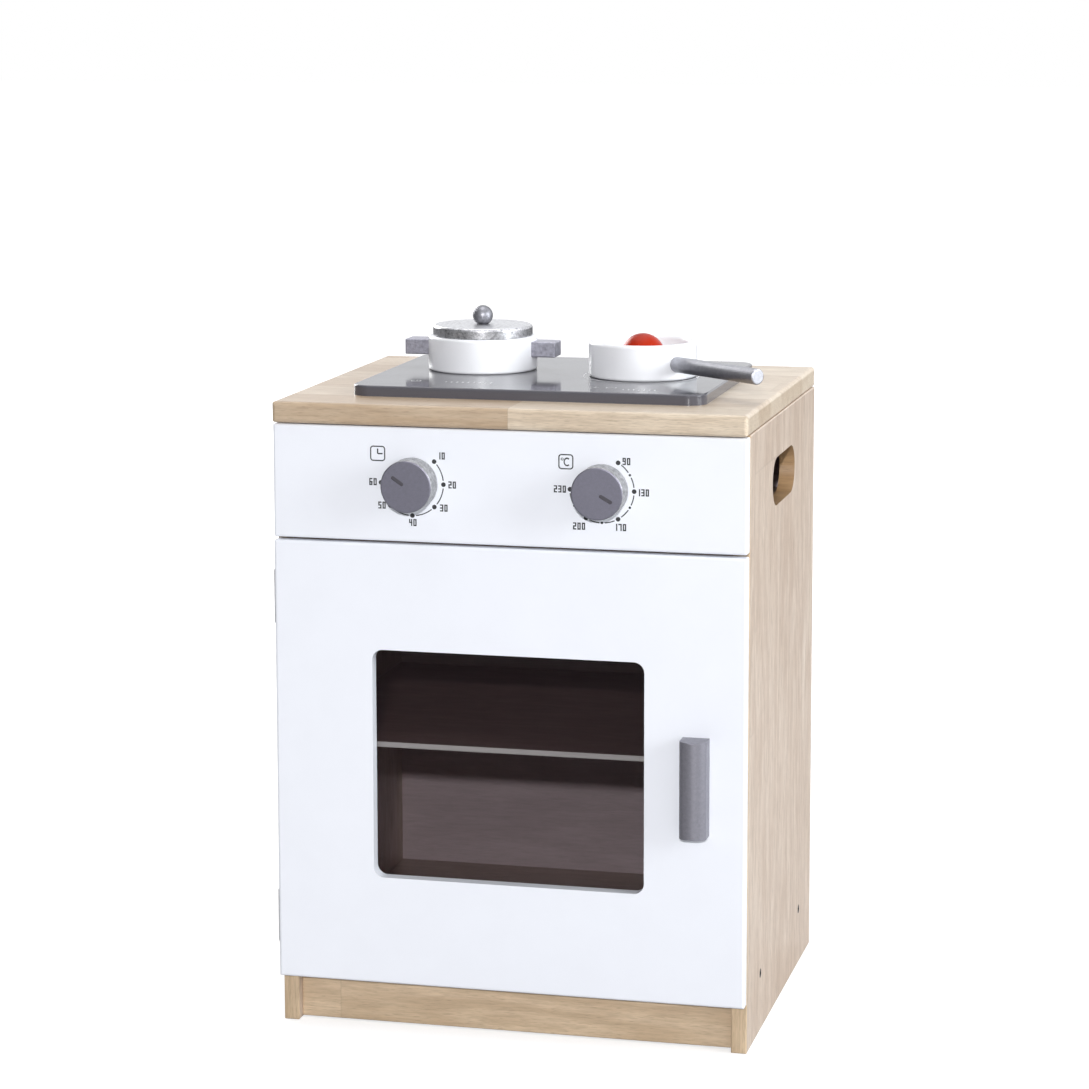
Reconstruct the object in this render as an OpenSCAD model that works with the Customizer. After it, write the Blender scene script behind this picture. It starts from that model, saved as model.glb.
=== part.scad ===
// Wooden toy oven with a hinged door, two turning dials, a hob board,
// a pot with its lid and a pan with a fried egg.
// The front faces -Y, +Z is up, and the origin is the middle of the
// footprint, on the floor. All sizes are in millimetres.

/* [Cabinet] */
// Width across the two side panels
body_width = 360; // [320:1:420]
// Depth of the side panels
body_depth = 290; // [260:1:340]
// Height of the side panels
side_height = 464; // [440:1:520]
// Thickness of the side, bottom and ceiling boards
board_thickness = 12; // [11:0.5:16]
// Rounding of the boards' edges
board_ease = 1; // [0.5:0.25:1.5]
// Height of the bottom panel's underside above the floor
bottom_height = 39; // [32:1:60]
// Height of the oven ceiling's underside above the floor
ceiling_height = 370; // [340:1:372]
// Thickness of the back panel
back_thickness = 4; // [3.5:0.5:6]
// How far the back panel sits in from the rear edges
back_inset = 1; // [0.5:0.5:4]
// Gap between the plinth and the floor
plinth_floor_gap = 1.2; // [0.5:0.1:4]
// How far the plinth sits behind the side panels' front edges
plinth_inset = 8; // [1:0.5:16]
// Thickness of the plinth
plinth_thickness = 12; // [8:0.5:16]
// Thickness of the shelf
shelf_thickness = 4; // [3:0.5:6]
// Height of the shelf's top above the floor
shelf_top = 221; // [150:1:300]
// Depth of the grooves that hold the shelf's ends
shelf_groove = 4; // [2:0.5:6]
// How far the shelf sits behind the side panels' front edges
shelf_inset = 5; // [4:0.5:20]

/* [Hand holes] */
// Length of each hand hole along the side panel
hand_hole_length = 100; // [80:1:130]
// Height of each hand hole
hand_hole_height = 37; // [25:1:42]
// Distance from the side panels' top to the hand holes' middle
hand_hole_drop = 50.5; // [42:0.5:60]

/* [Worktop] */
// Thickness of the worktop
worktop_thickness = 16; // [14:0.5:22]
// How far the worktop reaches past each side panel
worktop_side_overhang = 0; // [0:0.5:6]
// How far the worktop reaches past the control panel's front
worktop_front_overhang = 2; // [0:0.5:8]
// Rounding of the worktop's edges
worktop_ease = 3; // [1:0.5:5]

/* [Control panel] */
// Thickness of the control panel
panel_thickness = 10; // [8:0.5:14]
// Gap between the control panel and the door below it
panel_door_gap = 2; // [1:0.25:4]
// Gap between the control panel and the worktop above it
panel_top_gap = 0.8; // [0.4:0.2:2]
// How far the control panel's lower edge lies above the oven ceiling's underside
panel_rise = 7.5; // [6:0.5:12]
// Rounding of the control panel's and the door's edges
front_ease = 2; // [1:0.25:3]

/* [Dials] */
// Radius of a dial knob
knob_radius = 19.5; // [14:0.1:24]
// How far a dial knob stands out from the control panel
knob_reach = 18; // [14:0.5:26]
// How far the dial knobs sit above the middle of the control panel
knob_lift = 1.2; // [0:0.1:6]
// Gap between a dial knob and the control panel
knob_gap = 0.4; // [0.2:0.1:1]
// Distance between the two dial knobs' centres
knob_spacing = 144; // [100:1:240]
// Rounding of a dial knob's front edge
knob_ease = 1.2; // [0.5:0.1:3]
// Length of the pointer groove on a knob's face
pointer_length = 10.8; // [6:0.1:12]
// Width of the pointer groove
pointer_width = 2.8; // [1:0.1:4]
// Depth of the pointer groove
pointer_depth = 1; // [0.5:0.1:2]
// Distance from a knob's middle to the near end of the pointer groove
pointer_start = 2.2; // [0:0.1:4]
// Direction in which the timer's pointer rests, from +X towards +Z
timer_angle = 146; // [0:1:359]
// Direction in which the temperature pointer rests, from +X towards +Z
temperature_angle = 331; // [0:1:359]
// Radius of the spindle screw's shank
spindle_radius = 2.5; // [2:0.1:3.5]
// Running clearance round the spindle in the control panel
spindle_clearance = 0.06; // [0.02:0.01:0.1]
// Depth to which the spindle is screwed into the knob
spindle_grip = 12; // [8:0.5:13]
// Radius of the washer behind the control panel
washer_radius = 6.5; // [5:0.5:9]
// Thickness of the washer
washer_thickness = 1; // [0.6:0.1:2]

/* [Door] */
// Thickness of the door
door_thickness = 10; // [8:0.5:14]
// Height of the door's lower edge above the floor
door_bottom = 37.5; // [30:0.5:38]
// Gap between the door and the cabinet behind it
door_gap = 0.6; // [0.4:0.1:1]
// Width of the window opening
window_width = 208; // [150:1:240]
// Height of the window opening
window_height = 175; // [120:1:220]
// Radius of the window's corners
window_corner = 8; // [4:0.5:20]
// Height of the window's middle above the floor
window_z = 207.5; // [195:0.5:215]
// Thickness of the window pane
pane_thickness = 2; // [1.5:0.5:3]
// How far the pane laps over the back of the door round the window
pane_lap = 12; // [10:0.5:18]
// Distance from the pane's edge to its screws
pane_screw_inset = 5; // [4:0.5:6]

/* [Door handle] */
// Length of the handle
handle_length = 73; // [50:1:100]
// Width of the handle
handle_width = 20; // [14:0.5:26]
// How far the handle stands out from the door
handle_reach = 19; // [14:0.5:26]
// Depth of the handle's flat sides, before its round front begins
handle_flat = 13; // [8:0.5:13.5]
// Distance from the door's free edge to the handle's middle
handle_inset = 37; // [25:0.5:50]
// Distance from the door's middle height down to the handle's middle
handle_drop = 2; // [0:0.5:40]
// Distance between the two handle screws
handle_screw_spacing = 44; // [30:1:50]

/* [Hinges] */
// Height of a hinge leaf
leaf_height = 40; // [30:1:50]
// Width of a hinge leaf on the wood
leaf_width = 10; // [8:0.5:10.5]
// Thickness of a hinge leaf
leaf_thickness = 1; // [0.8:0.1:1.5]
// Outer radius of a hinge knuckle
knuckle_radius = 1.6; // [1.5:0.1:2.5]
// Radius of the hinge pin
pin_radius = 0.8; // [0.6:0.1:1]
// Running clearance round the pin in the door's knuckle
pin_clearance = 0.05; // [0.02:0.01:0.1]
// Distance from a hinge leaf's ends to its screws
leaf_screw_inset = 7; // [5:0.5:10]
// Gap between neighbouring knuckles
knuckle_gap = 0.3; // [0.2:0.1:0.6]
// Gap between the knuckles and the side of the cabinet
hinge_side_gap = 0.3; // [0.2:0.1:0.6]
// Distance from the door's ends to the middle of each hinge
hinge_inset = 45; // [35:1:80]

/* [Catch] */
// Radius of the catch magnet
magnet_radius = 4; // [3:0.5:4.5]
// Length of the catch magnet
magnet_length = 6; // [4:0.5:10]
// How far the magnet stands out of the side panel's front edge
magnet_reach = 0.3; // [0.1:0.1:0.3]
// Distance from the door's top to the magnet's middle
magnet_drop = 40; // [20:1:80]
// Radius of the steel strike disc in the door
strike_radius = 4.5; // [3.5:0.5:5]
// Thickness of the strike disc
strike_thickness = 1.2; // [1:0.1:2]

/* [Hob] */
// Width of the hob board
hob_width = 272; // [220:1:300]
// Depth of the hob board
hob_depth = 213; // [180:1:250]
// Thickness of the hob board
hob_thickness = 8; // [6:0.5:12]
// Radius of the hob board's corners, seen from above
hob_corner = 14; // [6:0.5:24]
// Rounding of the hob board's upper edge
hob_ease = 1.5; // [0.5:0.25:3]
// How far the hob board sits to the right of the cabinet's middle
hob_offset = 3; // [-10:0.5:10]
// Distance from the hob board's edges to its fixing screws
hob_screw_inset = 32; // [20:1:60]

/* [Pot] */
// Outer radius of the pot
pot_radius = 42.6; // [35:0.1:46]
// Height of the pot without its lid
pot_height = 26.7; // [24:0.1:34]
// Thickness of the pot's wall
pot_wall = 6; // [4:0.5:8]
// Thickness of the pot's floor
pot_floor = 6; // [4:0.5:10]
// Rounding of the pot's rim and foot
pot_ease = 2; // [1:0.25:2.5]
// Position of the pot's axis across the cabinet, from its middle
pot_x = -61.5; // [-80:0.5:-55]
// Position of the pot's axis behind the hob board's middle
pot_y = 17.5; // [-20:0.5:50]
// How far each grip reaches out from the pot
grip_reach = 18; // [10:0.5:20]
// Width of each grip
grip_width = 20; // [12:0.5:26]
// Height of each grip
grip_height = 12; // [7:0.5:12]
// Height of the grips' middle above the pot's foot
grip_z = 17; // [12:0.1:17.5]
// Rounding of the grips' edges
grip_ease = 1; // [0.5:0.25:2]
// Radius of the peg that holds a grip
grip_peg_radius = 3; // [2:0.25:3.25]

/* [Pot lid] */
// Radius of the lid
lid_radius = 39; // [37.5:0.1:41]
// Thickness of the lid's disc
lid_thickness = 8.4; // [6:0.1:10]
// Depth of the step under the lid
lid_step = 3; // [2:0.5:5]
// Play between the lid's step and the inside of the pot
lid_play = 0.6; // [0.3:0.1:1.5]
// Rounding of the lid's upper edge
lid_ease = 2.4; // [1:0.1:3]
// Radius of the lid's ball knob
ball_radius = 7.9; // [6:0.1:10]
// Depth of the flat on which the ball stands
ball_flat = 1.1; // [0.4:0.1:2]
// Radius of the peg under the ball
ball_peg_radius = 2.5; // [2:0.1:4]

/* [Pan] */
// Outer radius of the pan
pan_radius = 41.7; // [35:0.1:46]
// Height of the pan
pan_height = 27.5; // [24:0.1:34]
// Thickness of the pan's wall
pan_wall = 5.5; // [4:0.5:8]
// Thickness of the pan's floor
pan_floor = 8; // [5:0.5:10]
// Rounding of the pan's rim and foot
pan_ease = 2.4; // [1:0.1:2.5]
// Position of the pan's axis across the cabinet, from its middle
pan_x = 70.5; // [60:0.5:71]
// Position of the pan's axis behind the hob board's middle
pan_y = 0; // [-20:0.5:40]
// Length of the pan's handle
pan_handle_length = 96; // [70:1:96]
// Radius of the pan's handle
pan_handle_radius = 6; // [5:0.25:7]
// Height of the handle's axis above the pan's foot
pan_handle_z = 12.6; // [12:0.1:14]
// Direction of the handle, from +X towards +Y
pan_handle_angle = -40; // [-60:0.1:-40]
// Rounding of the handle's end
pan_handle_ease = 1.2; // [0.5:0.1:3]
// Radius of the tenon that holds the handle in the pan's wall
tenon_radius = 4; // [3:0.25:4.5]

/* [Fried egg] */
// Radius of the egg white
egg_radius = 28; // [24:0.5:33]
// Thickness of the egg white
egg_thickness = 8; // [5:0.5:9]
// Rounding of the egg white's edges
egg_ease = 2.4; // [1:0.1:2.4]
// Radius of the yolk's dome
yolk_radius = 16.9; // [12:0.1:20]

/* [Fixings] */
// Clearance round pegs, dowels, screws and set-in pieces
fit_clearance = 0.05; // [0.02:0.01:0.1]
// Radius of the wooden dowels
dowel_radius = 3; // [2.5:0.25:4]
// Depth to which a dowel enters a board's edge
dowel_depth = 14; // [10:1:20]
// Wood left at the closed end of a dowel hole
dowel_skin = 3; // [2:0.5:4]
// Distance between the two dowels along each board joint
dowel_spacing = 180; // [140:1:220]
// Radius of the cabinet screws' heads
cabinet_screw_head = 3.5; // [3:0.25:4.5]
// Radius of the cabinet screws' shanks
cabinet_screw_radius = 2.5; // [2:0.1:3]
// Length of the cabinet screws
cabinet_screw_length = 44; // [35:1:60]
// Distance between the two cabinet screws on each side
cabinet_screw_spacing = 176; // [120:1:220]
// Radius of the small screws' heads
small_screw_head = 2.6; // [2.2:0.1:3]
// Radius of the small screws' shanks
small_screw_radius = 1.2; // [1:0.1:1.5]
// Height of the small screws' round heads
small_screw_head_height = 1.6; // [1:0.1:2]
// Distance between neighbouring back panel screws
back_screw_spacing = 120; // [80:1:140]

/* [Hidden] */

$fn = 64;

// Colours of the finishes
wood_color = [0.84, 0.73, 0.58];
pale_wood_color = [0.86, 0.78, 0.67];
white_color = [0.93, 0.94, 0.96];
grey_color = [0.45, 0.45, 0.48];
silver_color = [0.72, 0.72, 0.74];
steel_color = [0.66, 0.66, 0.68];
dark_color = [0.25, 0.24, 0.24];

// Overlap used only to make cuts run clean through a face
cut = 1;

// Planes of the cabinet. The knuckles on the left reach further out than the
// worktop on the right, so the cabinet's middle lies a little to the right of
// the footprint's middle.
hinge_reach = hinge_side_gap + 2 * knuckle_radius;
mid_x = (hinge_reach - worktop_side_overhang) / 2;
left_x = mid_x - body_width / 2;
right_x = mid_x + body_width / 2;
inner_left_x = left_x + board_thickness;
inner_right_x = right_x - board_thickness;
inner_width = body_width - 2 * board_thickness;
overall_depth = body_depth + door_gap + door_thickness + handle_reach;
rear_y = overall_depth / 2;
front_y = rear_y - body_depth;
mid_y = (front_y + rear_y) / 2;
back_front_y = rear_y - back_inset - back_thickness;
door_back_y = front_y - door_gap;
door_front_y = door_back_y - door_thickness;
panel_front_y = front_y - panel_thickness;
panel_bottom = ceiling_height + panel_rise;
door_top = panel_bottom - panel_door_gap;
door_height = door_top - door_bottom;
panel_top = side_height - panel_top_gap;
hand_hole_z = side_height - hand_hole_drop;
panel_height = panel_top - panel_bottom;
floor_mid_z = bottom_height + board_thickness / 2;
ceiling_mid_z = ceiling_height + board_thickness / 2;
dowel_ys = [mid_y - dowel_spacing / 2, mid_y + dowel_spacing / 2];
cabinet_screw_ys = [mid_y - cabinet_screw_spacing / 2, mid_y + cabinet_screw_spacing / 2];
side_mid_xs = [left_x + board_thickness / 2, right_x - board_thickness / 2];
dowel_in_board = board_thickness - dowel_skin;

// Worktop and hob
worktop_front_y = panel_front_y - worktop_front_overhang;
worktop_depth = rear_y - worktop_front_y;
worktop_width = body_width + 2 * worktop_side_overhang;
worktop_mid_y = (worktop_front_y + rear_y) / 2;
worktop_top = side_height + worktop_thickness;
hob_x = mid_x + hob_offset;
hob_y = worktop_mid_y;
hob_top = worktop_top + hob_thickness;
hob_screw_dx = hob_width / 2 - hob_screw_inset;
hob_screw_dy = hob_depth / 2 - hob_screw_inset;
hob_screw_length = worktop_thickness + 0.65 * hob_thickness;

// Control panel and dials
knob_z = (panel_top + panel_bottom) / 2 + knob_lift;
timer_x = mid_x - knob_spacing / 2;
temperature_x = mid_x + knob_spacing / 2;
washer_gap = 0.1;
spindle_seat_y = front_y + washer_gap + washer_thickness;
spindle_length = washer_gap + washer_thickness + panel_thickness + knob_gap + spindle_grip;
spindle_head_radius = 4.5;
spindle_head_height = 3;
panel_dowel_inset = 18;
panel_dowel_zs = [panel_bottom + panel_dowel_inset, panel_top - panel_dowel_inset];
panel_dowel_depth = panel_thickness - dowel_skin;

// Door
door_mid_x = mid_x;
door_mid_z = (door_bottom + door_top) / 2;
pane_width = window_width + 2 * pane_lap;
pane_height = window_height + 2 * pane_lap;
pane_rear_y = door_back_y + pane_thickness;
pane_screw_dx = pane_width / 2 - pane_screw_inset;
pane_screw_dz = pane_height / 2 - pane_screw_inset;
pane_screw_length = pane_thickness + door_thickness - dowel_skin;
handle_x = right_x - handle_inset;
handle_z = door_mid_z - handle_drop;
handle_screw_zs = [handle_z - handle_screw_spacing / 2, handle_z + handle_screw_spacing / 2];
handle_screw_grip = 10;

// Hinges: the pin's axis stands beside the cabinet, level with the door's gap
hinge_x = left_x - hinge_side_gap - knuckle_radius;
hinge_y = front_y - door_gap / 2;
hinge_zs = [door_bottom + hinge_inset, door_top - hinge_inset];
knuckle_height = (leaf_height - 2 * knuckle_gap) / 3;
leaf_screw_spacing = leaf_height - 2 * leaf_screw_inset;
frame_screw_length = 14;
door_screw_length = door_thickness - dowel_skin;
magnet_z = door_top - magnet_drop;
magnet_x = right_x - board_thickness / 2;

// Cookware
pot_axis = [mid_x + pot_x, hob_y + pot_y, hob_top];
pan_axis = [mid_x + pan_x, hob_y + pan_y, hob_top];
lid_base_z = hob_top + pot_height;
egg_base_z = hob_top + pan_floor;
peg_depth = pot_wall - 1;

// A rectangle with round corners, about its middle
module rounded_rect(width, height, radius) {
    square([width - 2 * radius, height], center = true);
    square([width, height - 2 * radius], center = true);
    for (x = [-1, 1], y = [-1, 1])
        translate([x * (width / 2 - radius), y * (height / 2 - radius)]) circle(radius);
}

// A board with all its edges rounded. corner is its lowest corner.
module eased_board(corner, size, radius) {
    translate(corner + size / 2)
        intersection() {
            translate([0, 0, -size[2] / 2])
                linear_extrude(size[2]) rounded_rect(size[0], size[1], radius);
            rotate([90, 0, 0]) translate([0, 0, -size[1] / 2])
                linear_extrude(size[1]) rounded_rect(size[0], size[2], radius);
            rotate([90, 0, 90]) translate([0, 0, -size[0] / 2])
                linear_extrude(size[0]) rounded_rect(size[1], size[2], radius);
        }
}

// A plain board between two corners
module plain_board(low, high) {
    translate(low) cube(high - low);
}

// Turns +Z to face along +X, -X, +Y or -Y
module facing(direction) {
    if (direction == "+x") rotate([0, 90, 0]) children();
    if (direction == "-x") rotate([0, -90, 0]) children();
    if (direction == "+y") rotate([-90, 0, 0]) children();
    if (direction == "-y") rotate([90, 0, 0]) children();
}

// A countersunk screw: its flat head ends at z = 0 and its shank runs down
module sunk_screw(head_radius, shank_radius, length) {
    sink = head_radius - shank_radius;
    translate([0, 0, -sink]) cylinder(h = sink, r1 = shank_radius, r2 = head_radius);
    translate([0, 0, -length]) cylinder(h = length, r = shank_radius);
}

// The hole that a countersunk screw needs
module sunk_hole(head_radius, shank_radius, length) {
    sunk_screw(head_radius + fit_clearance, shank_radius + fit_clearance, length + fit_clearance);
    cylinder(h = cut, r = head_radius + fit_clearance);
}

// A round-headed screw: its head stands on z = 0 and its shank runs down
module round_screw(head_radius, head_height, shank_radius, length) {
    rotate_extrude() intersection() {
        translate([0, head_height / 2]) rounded_rect(2 * head_radius, head_height, head_height / 2.5);
        square([head_radius, head_height]);
    }
    translate([0, 0, -length]) cylinder(h = length, r = shank_radius);
}

// A dowel along Z from one height to another, with small chamfers
module dowel(low, high, radius) {
    chamfer = 0.6;
    translate([0, 0, low]) cylinder(h = chamfer, r1 = radius - chamfer, r2 = radius);
    translate([0, 0, low + chamfer]) cylinder(h = high - low - 2 * chamfer, r = radius);
    translate([0, 0, high - chamfer]) cylinder(h = chamfer, r1 = radius, r2 = radius - chamfer);
}

// The outline of a hand hole: a slot with round ends
module hand_hole_outline() {
    rounded_rect(hand_hole_length, hand_hole_height, hand_hole_height / 2 - 0.01);
}

// The cuts that the shelf, the fixings and the hands need in a side panel.
// side is -1 on the left and 1 on the right.
module side_panel_cuts(side) {
    outer_x = mid_x + side * body_width / 2;
    inner_x = mid_x + side * inner_width / 2;
    out = side > 0 ? "+x" : "-x";
    translate([outer_x - side * board_thickness / 2, mid_y, hand_hole_z])
        rotate([90, 0, 90]) translate([0, 0, -board_thickness / 2 - cut])
            linear_extrude(board_thickness + 2 * cut) hand_hole_outline();
    groove_low = min(inner_x, inner_x + side * shelf_groove) - (side > 0 ? cut : 0);
    translate([groove_low, front_y + shelf_inset, shelf_top - shelf_thickness])
        cube([shelf_groove + cut, back_front_y - front_y - shelf_inset,
            shelf_thickness + 2 * fit_clearance]);
    for (y = cabinet_screw_ys)
        translate([outer_x, y, floor_mid_z]) facing(out)
            sunk_hole(cabinet_screw_head, cabinet_screw_radius, board_thickness + cut);
    for (y = dowel_ys) {
        translate([inner_x + side * dowel_in_board, y, ceiling_mid_z]) facing(side > 0 ? "-x" : "+x")
            cylinder(h = dowel_in_board + cut, r = dowel_radius + fit_clearance);
        translate([outer_x - side * board_thickness / 2, y, side_height - dowel_depth])
            cylinder(h = dowel_depth + cut, r = dowel_radius + fit_clearance);
    }
    for (z = panel_dowel_zs)
        translate([outer_x - side * board_thickness / 2, front_y + dowel_depth, z]) facing("-y")
            cylinder(h = dowel_depth + cut, r = dowel_radius + fit_clearance);
}

module side_panel_left() {
    color(pale_wood_color) difference() {
        eased_board([left_x, front_y, 0], [board_thickness, body_depth, side_height], board_ease);
        side_panel_cuts(-1);
        for (z = hinge_zs) {
            plain_board([left_x - cut, front_y - cut, z - leaf_height / 2 - fit_clearance],
                [left_x + leaf_width + fit_clearance, front_y + leaf_thickness,
                    z + leaf_height / 2 + fit_clearance]);
            for (dz = [-1, 1])
                translate([hinge_screw_x(), front_y, z + dz * leaf_screw_spacing / 2]) facing("-y")
                    sunk_hole(small_screw_head, small_screw_radius, frame_screw_length);
        }
    }
}

module side_panel_right() {
    color(pale_wood_color) difference() {
        eased_board([inner_right_x, front_y, 0], [board_thickness, body_depth, side_height], board_ease);
        side_panel_cuts(1);
        translate([magnet_x, front_y + magnet_length - magnet_reach, magnet_z]) facing("-y")
            cylinder(h = magnet_length + cut, r = magnet_radius + fit_clearance);
    }
}

// A level board between the side panels, held by fixings in its ends
module level_board(underside, fixing_radius, fixing_depth, fixing_ys) {
    difference() {
        eased_board([inner_left_x, front_y, underside],
            [inner_width, back_front_y - front_y, board_thickness], board_ease);
        for (side = [-1, 1], y = fixing_ys)
            translate([mid_x + side * (inner_width / 2 + cut), y, underside + board_thickness / 2])
                facing(side > 0 ? "-x" : "+x")
                    cylinder(h = fixing_depth + cut, r = fixing_radius + fit_clearance);
        for (dx = [-1, 0, 1])
            translate([mid_x + dx * back_screw_spacing, back_front_y + cut,
                underside + board_thickness / 2]) facing("-y")
                    cylinder(h = back_screw_grip() + cut, r = small_screw_radius + fit_clearance);
    }
}

module bottom_panel() {
    color(wood_color)
        level_board(bottom_height, cabinet_screw_radius,
            cabinet_screw_length - board_thickness + fit_clearance, cabinet_screw_ys);
}

module oven_ceiling() {
    color(wood_color)
        level_board(ceiling_height, dowel_radius, dowel_depth, dowel_ys);
}

module back_panel() {
    color(wood_color) difference() {
        plain_board([inner_left_x, back_front_y, bottom_height],
            [inner_right_x, back_front_y + back_thickness, side_height]);
        for (z = [floor_mid_z, ceiling_mid_z], dx = [-1, 0, 1])
            translate([mid_x + dx * back_screw_spacing, back_front_y + back_thickness, z])
                facing("+y") sunk_hole(small_screw_head, small_screw_radius, back_thickness + cut);
    }
}

module plinth() {
    color(wood_color)
        eased_board([inner_left_x, front_y + plinth_inset, plinth_floor_gap],
            [inner_width, plinth_thickness, bottom_height - plinth_floor_gap], board_ease);
}

module shelf() {
    end_play = 0.1;
    color(wood_color)
        plain_board([inner_left_x - shelf_groove + end_play, front_y + shelf_inset + end_play,
                shelf_top - shelf_thickness],
            [inner_right_x + shelf_groove - end_play, back_front_y, shelf_top]);
}

module worktop() {
    color(wood_color) difference() {
        eased_board([mid_x - worktop_width / 2, worktop_front_y, side_height],
            [worktop_width, worktop_depth, worktop_thickness], worktop_ease);
        for (x = side_mid_xs, y = dowel_ys)
            translate([x, y, side_height - cut])
                cylinder(h = worktop_dowel_grip() + cut, r = dowel_radius + fit_clearance);
        for (dx = [-1, 1], dy = [-1, 1])
            translate([hob_x + dx * hob_screw_dx, hob_y + dy * hob_screw_dy, side_height])
                rotate([180, 0, 0])
                    sunk_hole(small_screw_head, small_screw_radius, worktop_thickness + cut);
    }
}

module control_panel() {
    color(white_color) difference() {
        eased_board([left_x, panel_front_y, panel_bottom],
            [body_width, panel_thickness, panel_height], front_ease);
        for (x = [timer_x, temperature_x])
            translate([x, front_y + cut, knob_z]) facing("-y")
                cylinder(h = panel_thickness + 2 * cut, r = spindle_radius + spindle_clearance);
        for (x = side_mid_xs, z = panel_dowel_zs)
            translate([x, front_y + cut, z]) facing("-y")
                cylinder(h = panel_dowel_depth + cut, r = dowel_radius + fit_clearance);
    }
}

// The hob board has round corners seen from above and a rounded upper edge
module hob_plate() {
    color(dark_color) difference() {
        translate([hob_x, hob_y, worktop_top]) {
            linear_extrude(hob_thickness - hob_ease)
                rounded_rect(hob_width, hob_depth, hob_corner);
            translate([0, 0, hob_thickness - hob_ease]) eased_top();
        }
        for (dx = [-1, 1], dy = [-1, 1])
            translate([hob_x + dx * hob_screw_dx, hob_y + dy * hob_screw_dy, worktop_top - cut])
                cylinder(h = hob_screw_length - worktop_thickness + cut + fit_clearance,
                    r = small_screw_radius + fit_clearance);
    }
}

// The top layer of the hob board, whose edge is a quarter round
module eased_top() {
    straight_width = hob_width - 2 * hob_corner;
    straight_depth = hob_depth - 2 * hob_corner;
    linear_extrude(hob_ease) rounded_rect(hob_width - 2 * hob_ease, hob_depth - 2 * hob_ease,
        hob_corner - hob_ease);
    for (sx = [-1, 1], sy = [-1, 1])
        translate([sx * straight_width / 2, sy * straight_depth / 2, 0])
            rotate_extrude() translate([hob_corner - hob_ease, 0]) quarter_disc(hob_ease);
    for (sx = [-1, 1])
        translate([sx * (hob_width / 2 - hob_ease), 0, 0]) half_round(straight_depth, hob_ease);
    for (sy = [-1, 1])
        translate([0, sy * (hob_depth / 2 - hob_ease), 0]) rotate([0, 0, 90])
            half_round(straight_width, hob_ease);
}

// A quarter of a disc in the first quadrant
module quarter_disc(radius) {
    intersection() {
        circle(radius);
        square(radius);
    }
}

// The upper half of a bar along Y
module half_round(length, radius) {
    translate([0, length / 2, 0]) rotate([90, 0, 0]) linear_extrude(length)
        intersection() {
            circle(radius);
            translate([-radius, 0]) square([2 * radius, radius]);
        }
}

module worktop_dowels() {
    color(pale_wood_color)
        for (x = side_mid_xs, y = dowel_ys)
            translate([x, y, side_height]) dowel(-dowel_depth, worktop_dowel_grip(), dowel_radius);
}

module ceiling_dowels() {
    color(pale_wood_color)
        for (side = [-1, 1], y = dowel_ys)
            translate([mid_x + side * inner_width / 2, y, ceiling_mid_z]) facing(side > 0 ? "+x" : "-x")
                dowel(-dowel_depth, dowel_in_board, dowel_radius);
}

module control_panel_dowels() {
    color(pale_wood_color)
        for (x = side_mid_xs, z = panel_dowel_zs)
            translate([x, front_y, z]) facing("-y")
                dowel(-dowel_depth, panel_dowel_depth, dowel_radius);
}

module cabinet_screws() {
    color(dark_color)
        for (side = [-1, 1], y = cabinet_screw_ys)
            translate([mid_x + side * body_width / 2, y, floor_mid_z]) facing(side > 0 ? "+x" : "-x")
                difference() {
                    sunk_screw(cabinet_screw_head, cabinet_screw_radius, cabinet_screw_length);
                    translate([0, 0, -2]) cylinder(h = 2 + cut, r = 1.6, $fn = 6);
                }
}

module back_panel_screws() {
    color(steel_color)
        for (z = [floor_mid_z, ceiling_mid_z], dx = [-1, 0, 1])
            translate([mid_x + dx * back_screw_spacing, back_front_y + back_thickness, z])
                facing("+y")
                    crossed(small_screw_head)
                        sunk_screw(small_screw_head, small_screw_radius, back_thickness + back_screw_grip());
}

module hob_screws() {
    color(steel_color)
        for (dx = [-1, 1], dy = [-1, 1])
            translate([hob_x + dx * hob_screw_dx, hob_y + dy * hob_screw_dy, side_height])
                rotate([180, 0, 0]) crossed(small_screw_head)
                    sunk_screw(small_screw_head, small_screw_radius, hob_screw_length);
}

// Cuts a driver's cross into the top of a screw head that ends at z = top
module crossed(head_radius, top = 0) {
    arm = 1.3 * head_radius;
    slot = 0.5;
    depth = 0.7;
    difference() {
        children();
        translate([-arm / 2, -slot / 2, top - depth]) cube([arm, slot, depth + cut]);
        translate([-slot / 2, -arm / 2, top - depth]) cube([slot, arm, depth + cut]);
    }
}

// How far screws and dowels reach into the piece that they hold
function back_screw_grip() = 10;
function worktop_dowel_grip() = worktop_thickness - dowel_skin;
function hinge_screw_x() = left_x + leaf_width / 2 + 0.5;

// One leaf of a hinge about z = 0. side is 1 for the leaf on the frame, which
// lies behind the pin, and -1 for the leaf on the door, which lies before it.
module hinge_leaf(side, knuckles, bore_radius) {
    face = door_gap / 2;
    low_y = side > 0 ? face : -face - leaf_thickness;
    plate_x = hinge_side_gap + knuckle_radius;
    translate([hinge_x, hinge_y, 0]) difference() {
        union() {
            translate([plate_x + 0.2, low_y, -leaf_height / 2])
                cube([leaf_width - 0.2, leaf_thickness, leaf_height]);
            for (k = knuckles) translate([0, 0, k * (knuckle_height + knuckle_gap)]) {
                translate([0, 0, -knuckle_height / 2])
                    cylinder(h = knuckle_height, r = knuckle_radius);
                translate([0, low_y, -knuckle_height / 2])
                    cube([plate_x + 0.2, leaf_thickness, knuckle_height]);
            }
        }
        translate([0, 0, -leaf_height / 2 - cut])
            cylinder(h = leaf_height + 2 * cut, r = bore_radius);
        for (dz = [-1, 1])
            translate([hinge_screw_x() - hinge_x, side * face,
                dz * leaf_screw_spacing / 2]) facing(side > 0 ? "-y" : "+y")
                    sunk_hole(small_screw_head, small_screw_radius, leaf_thickness + cut);
    }
}

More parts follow.
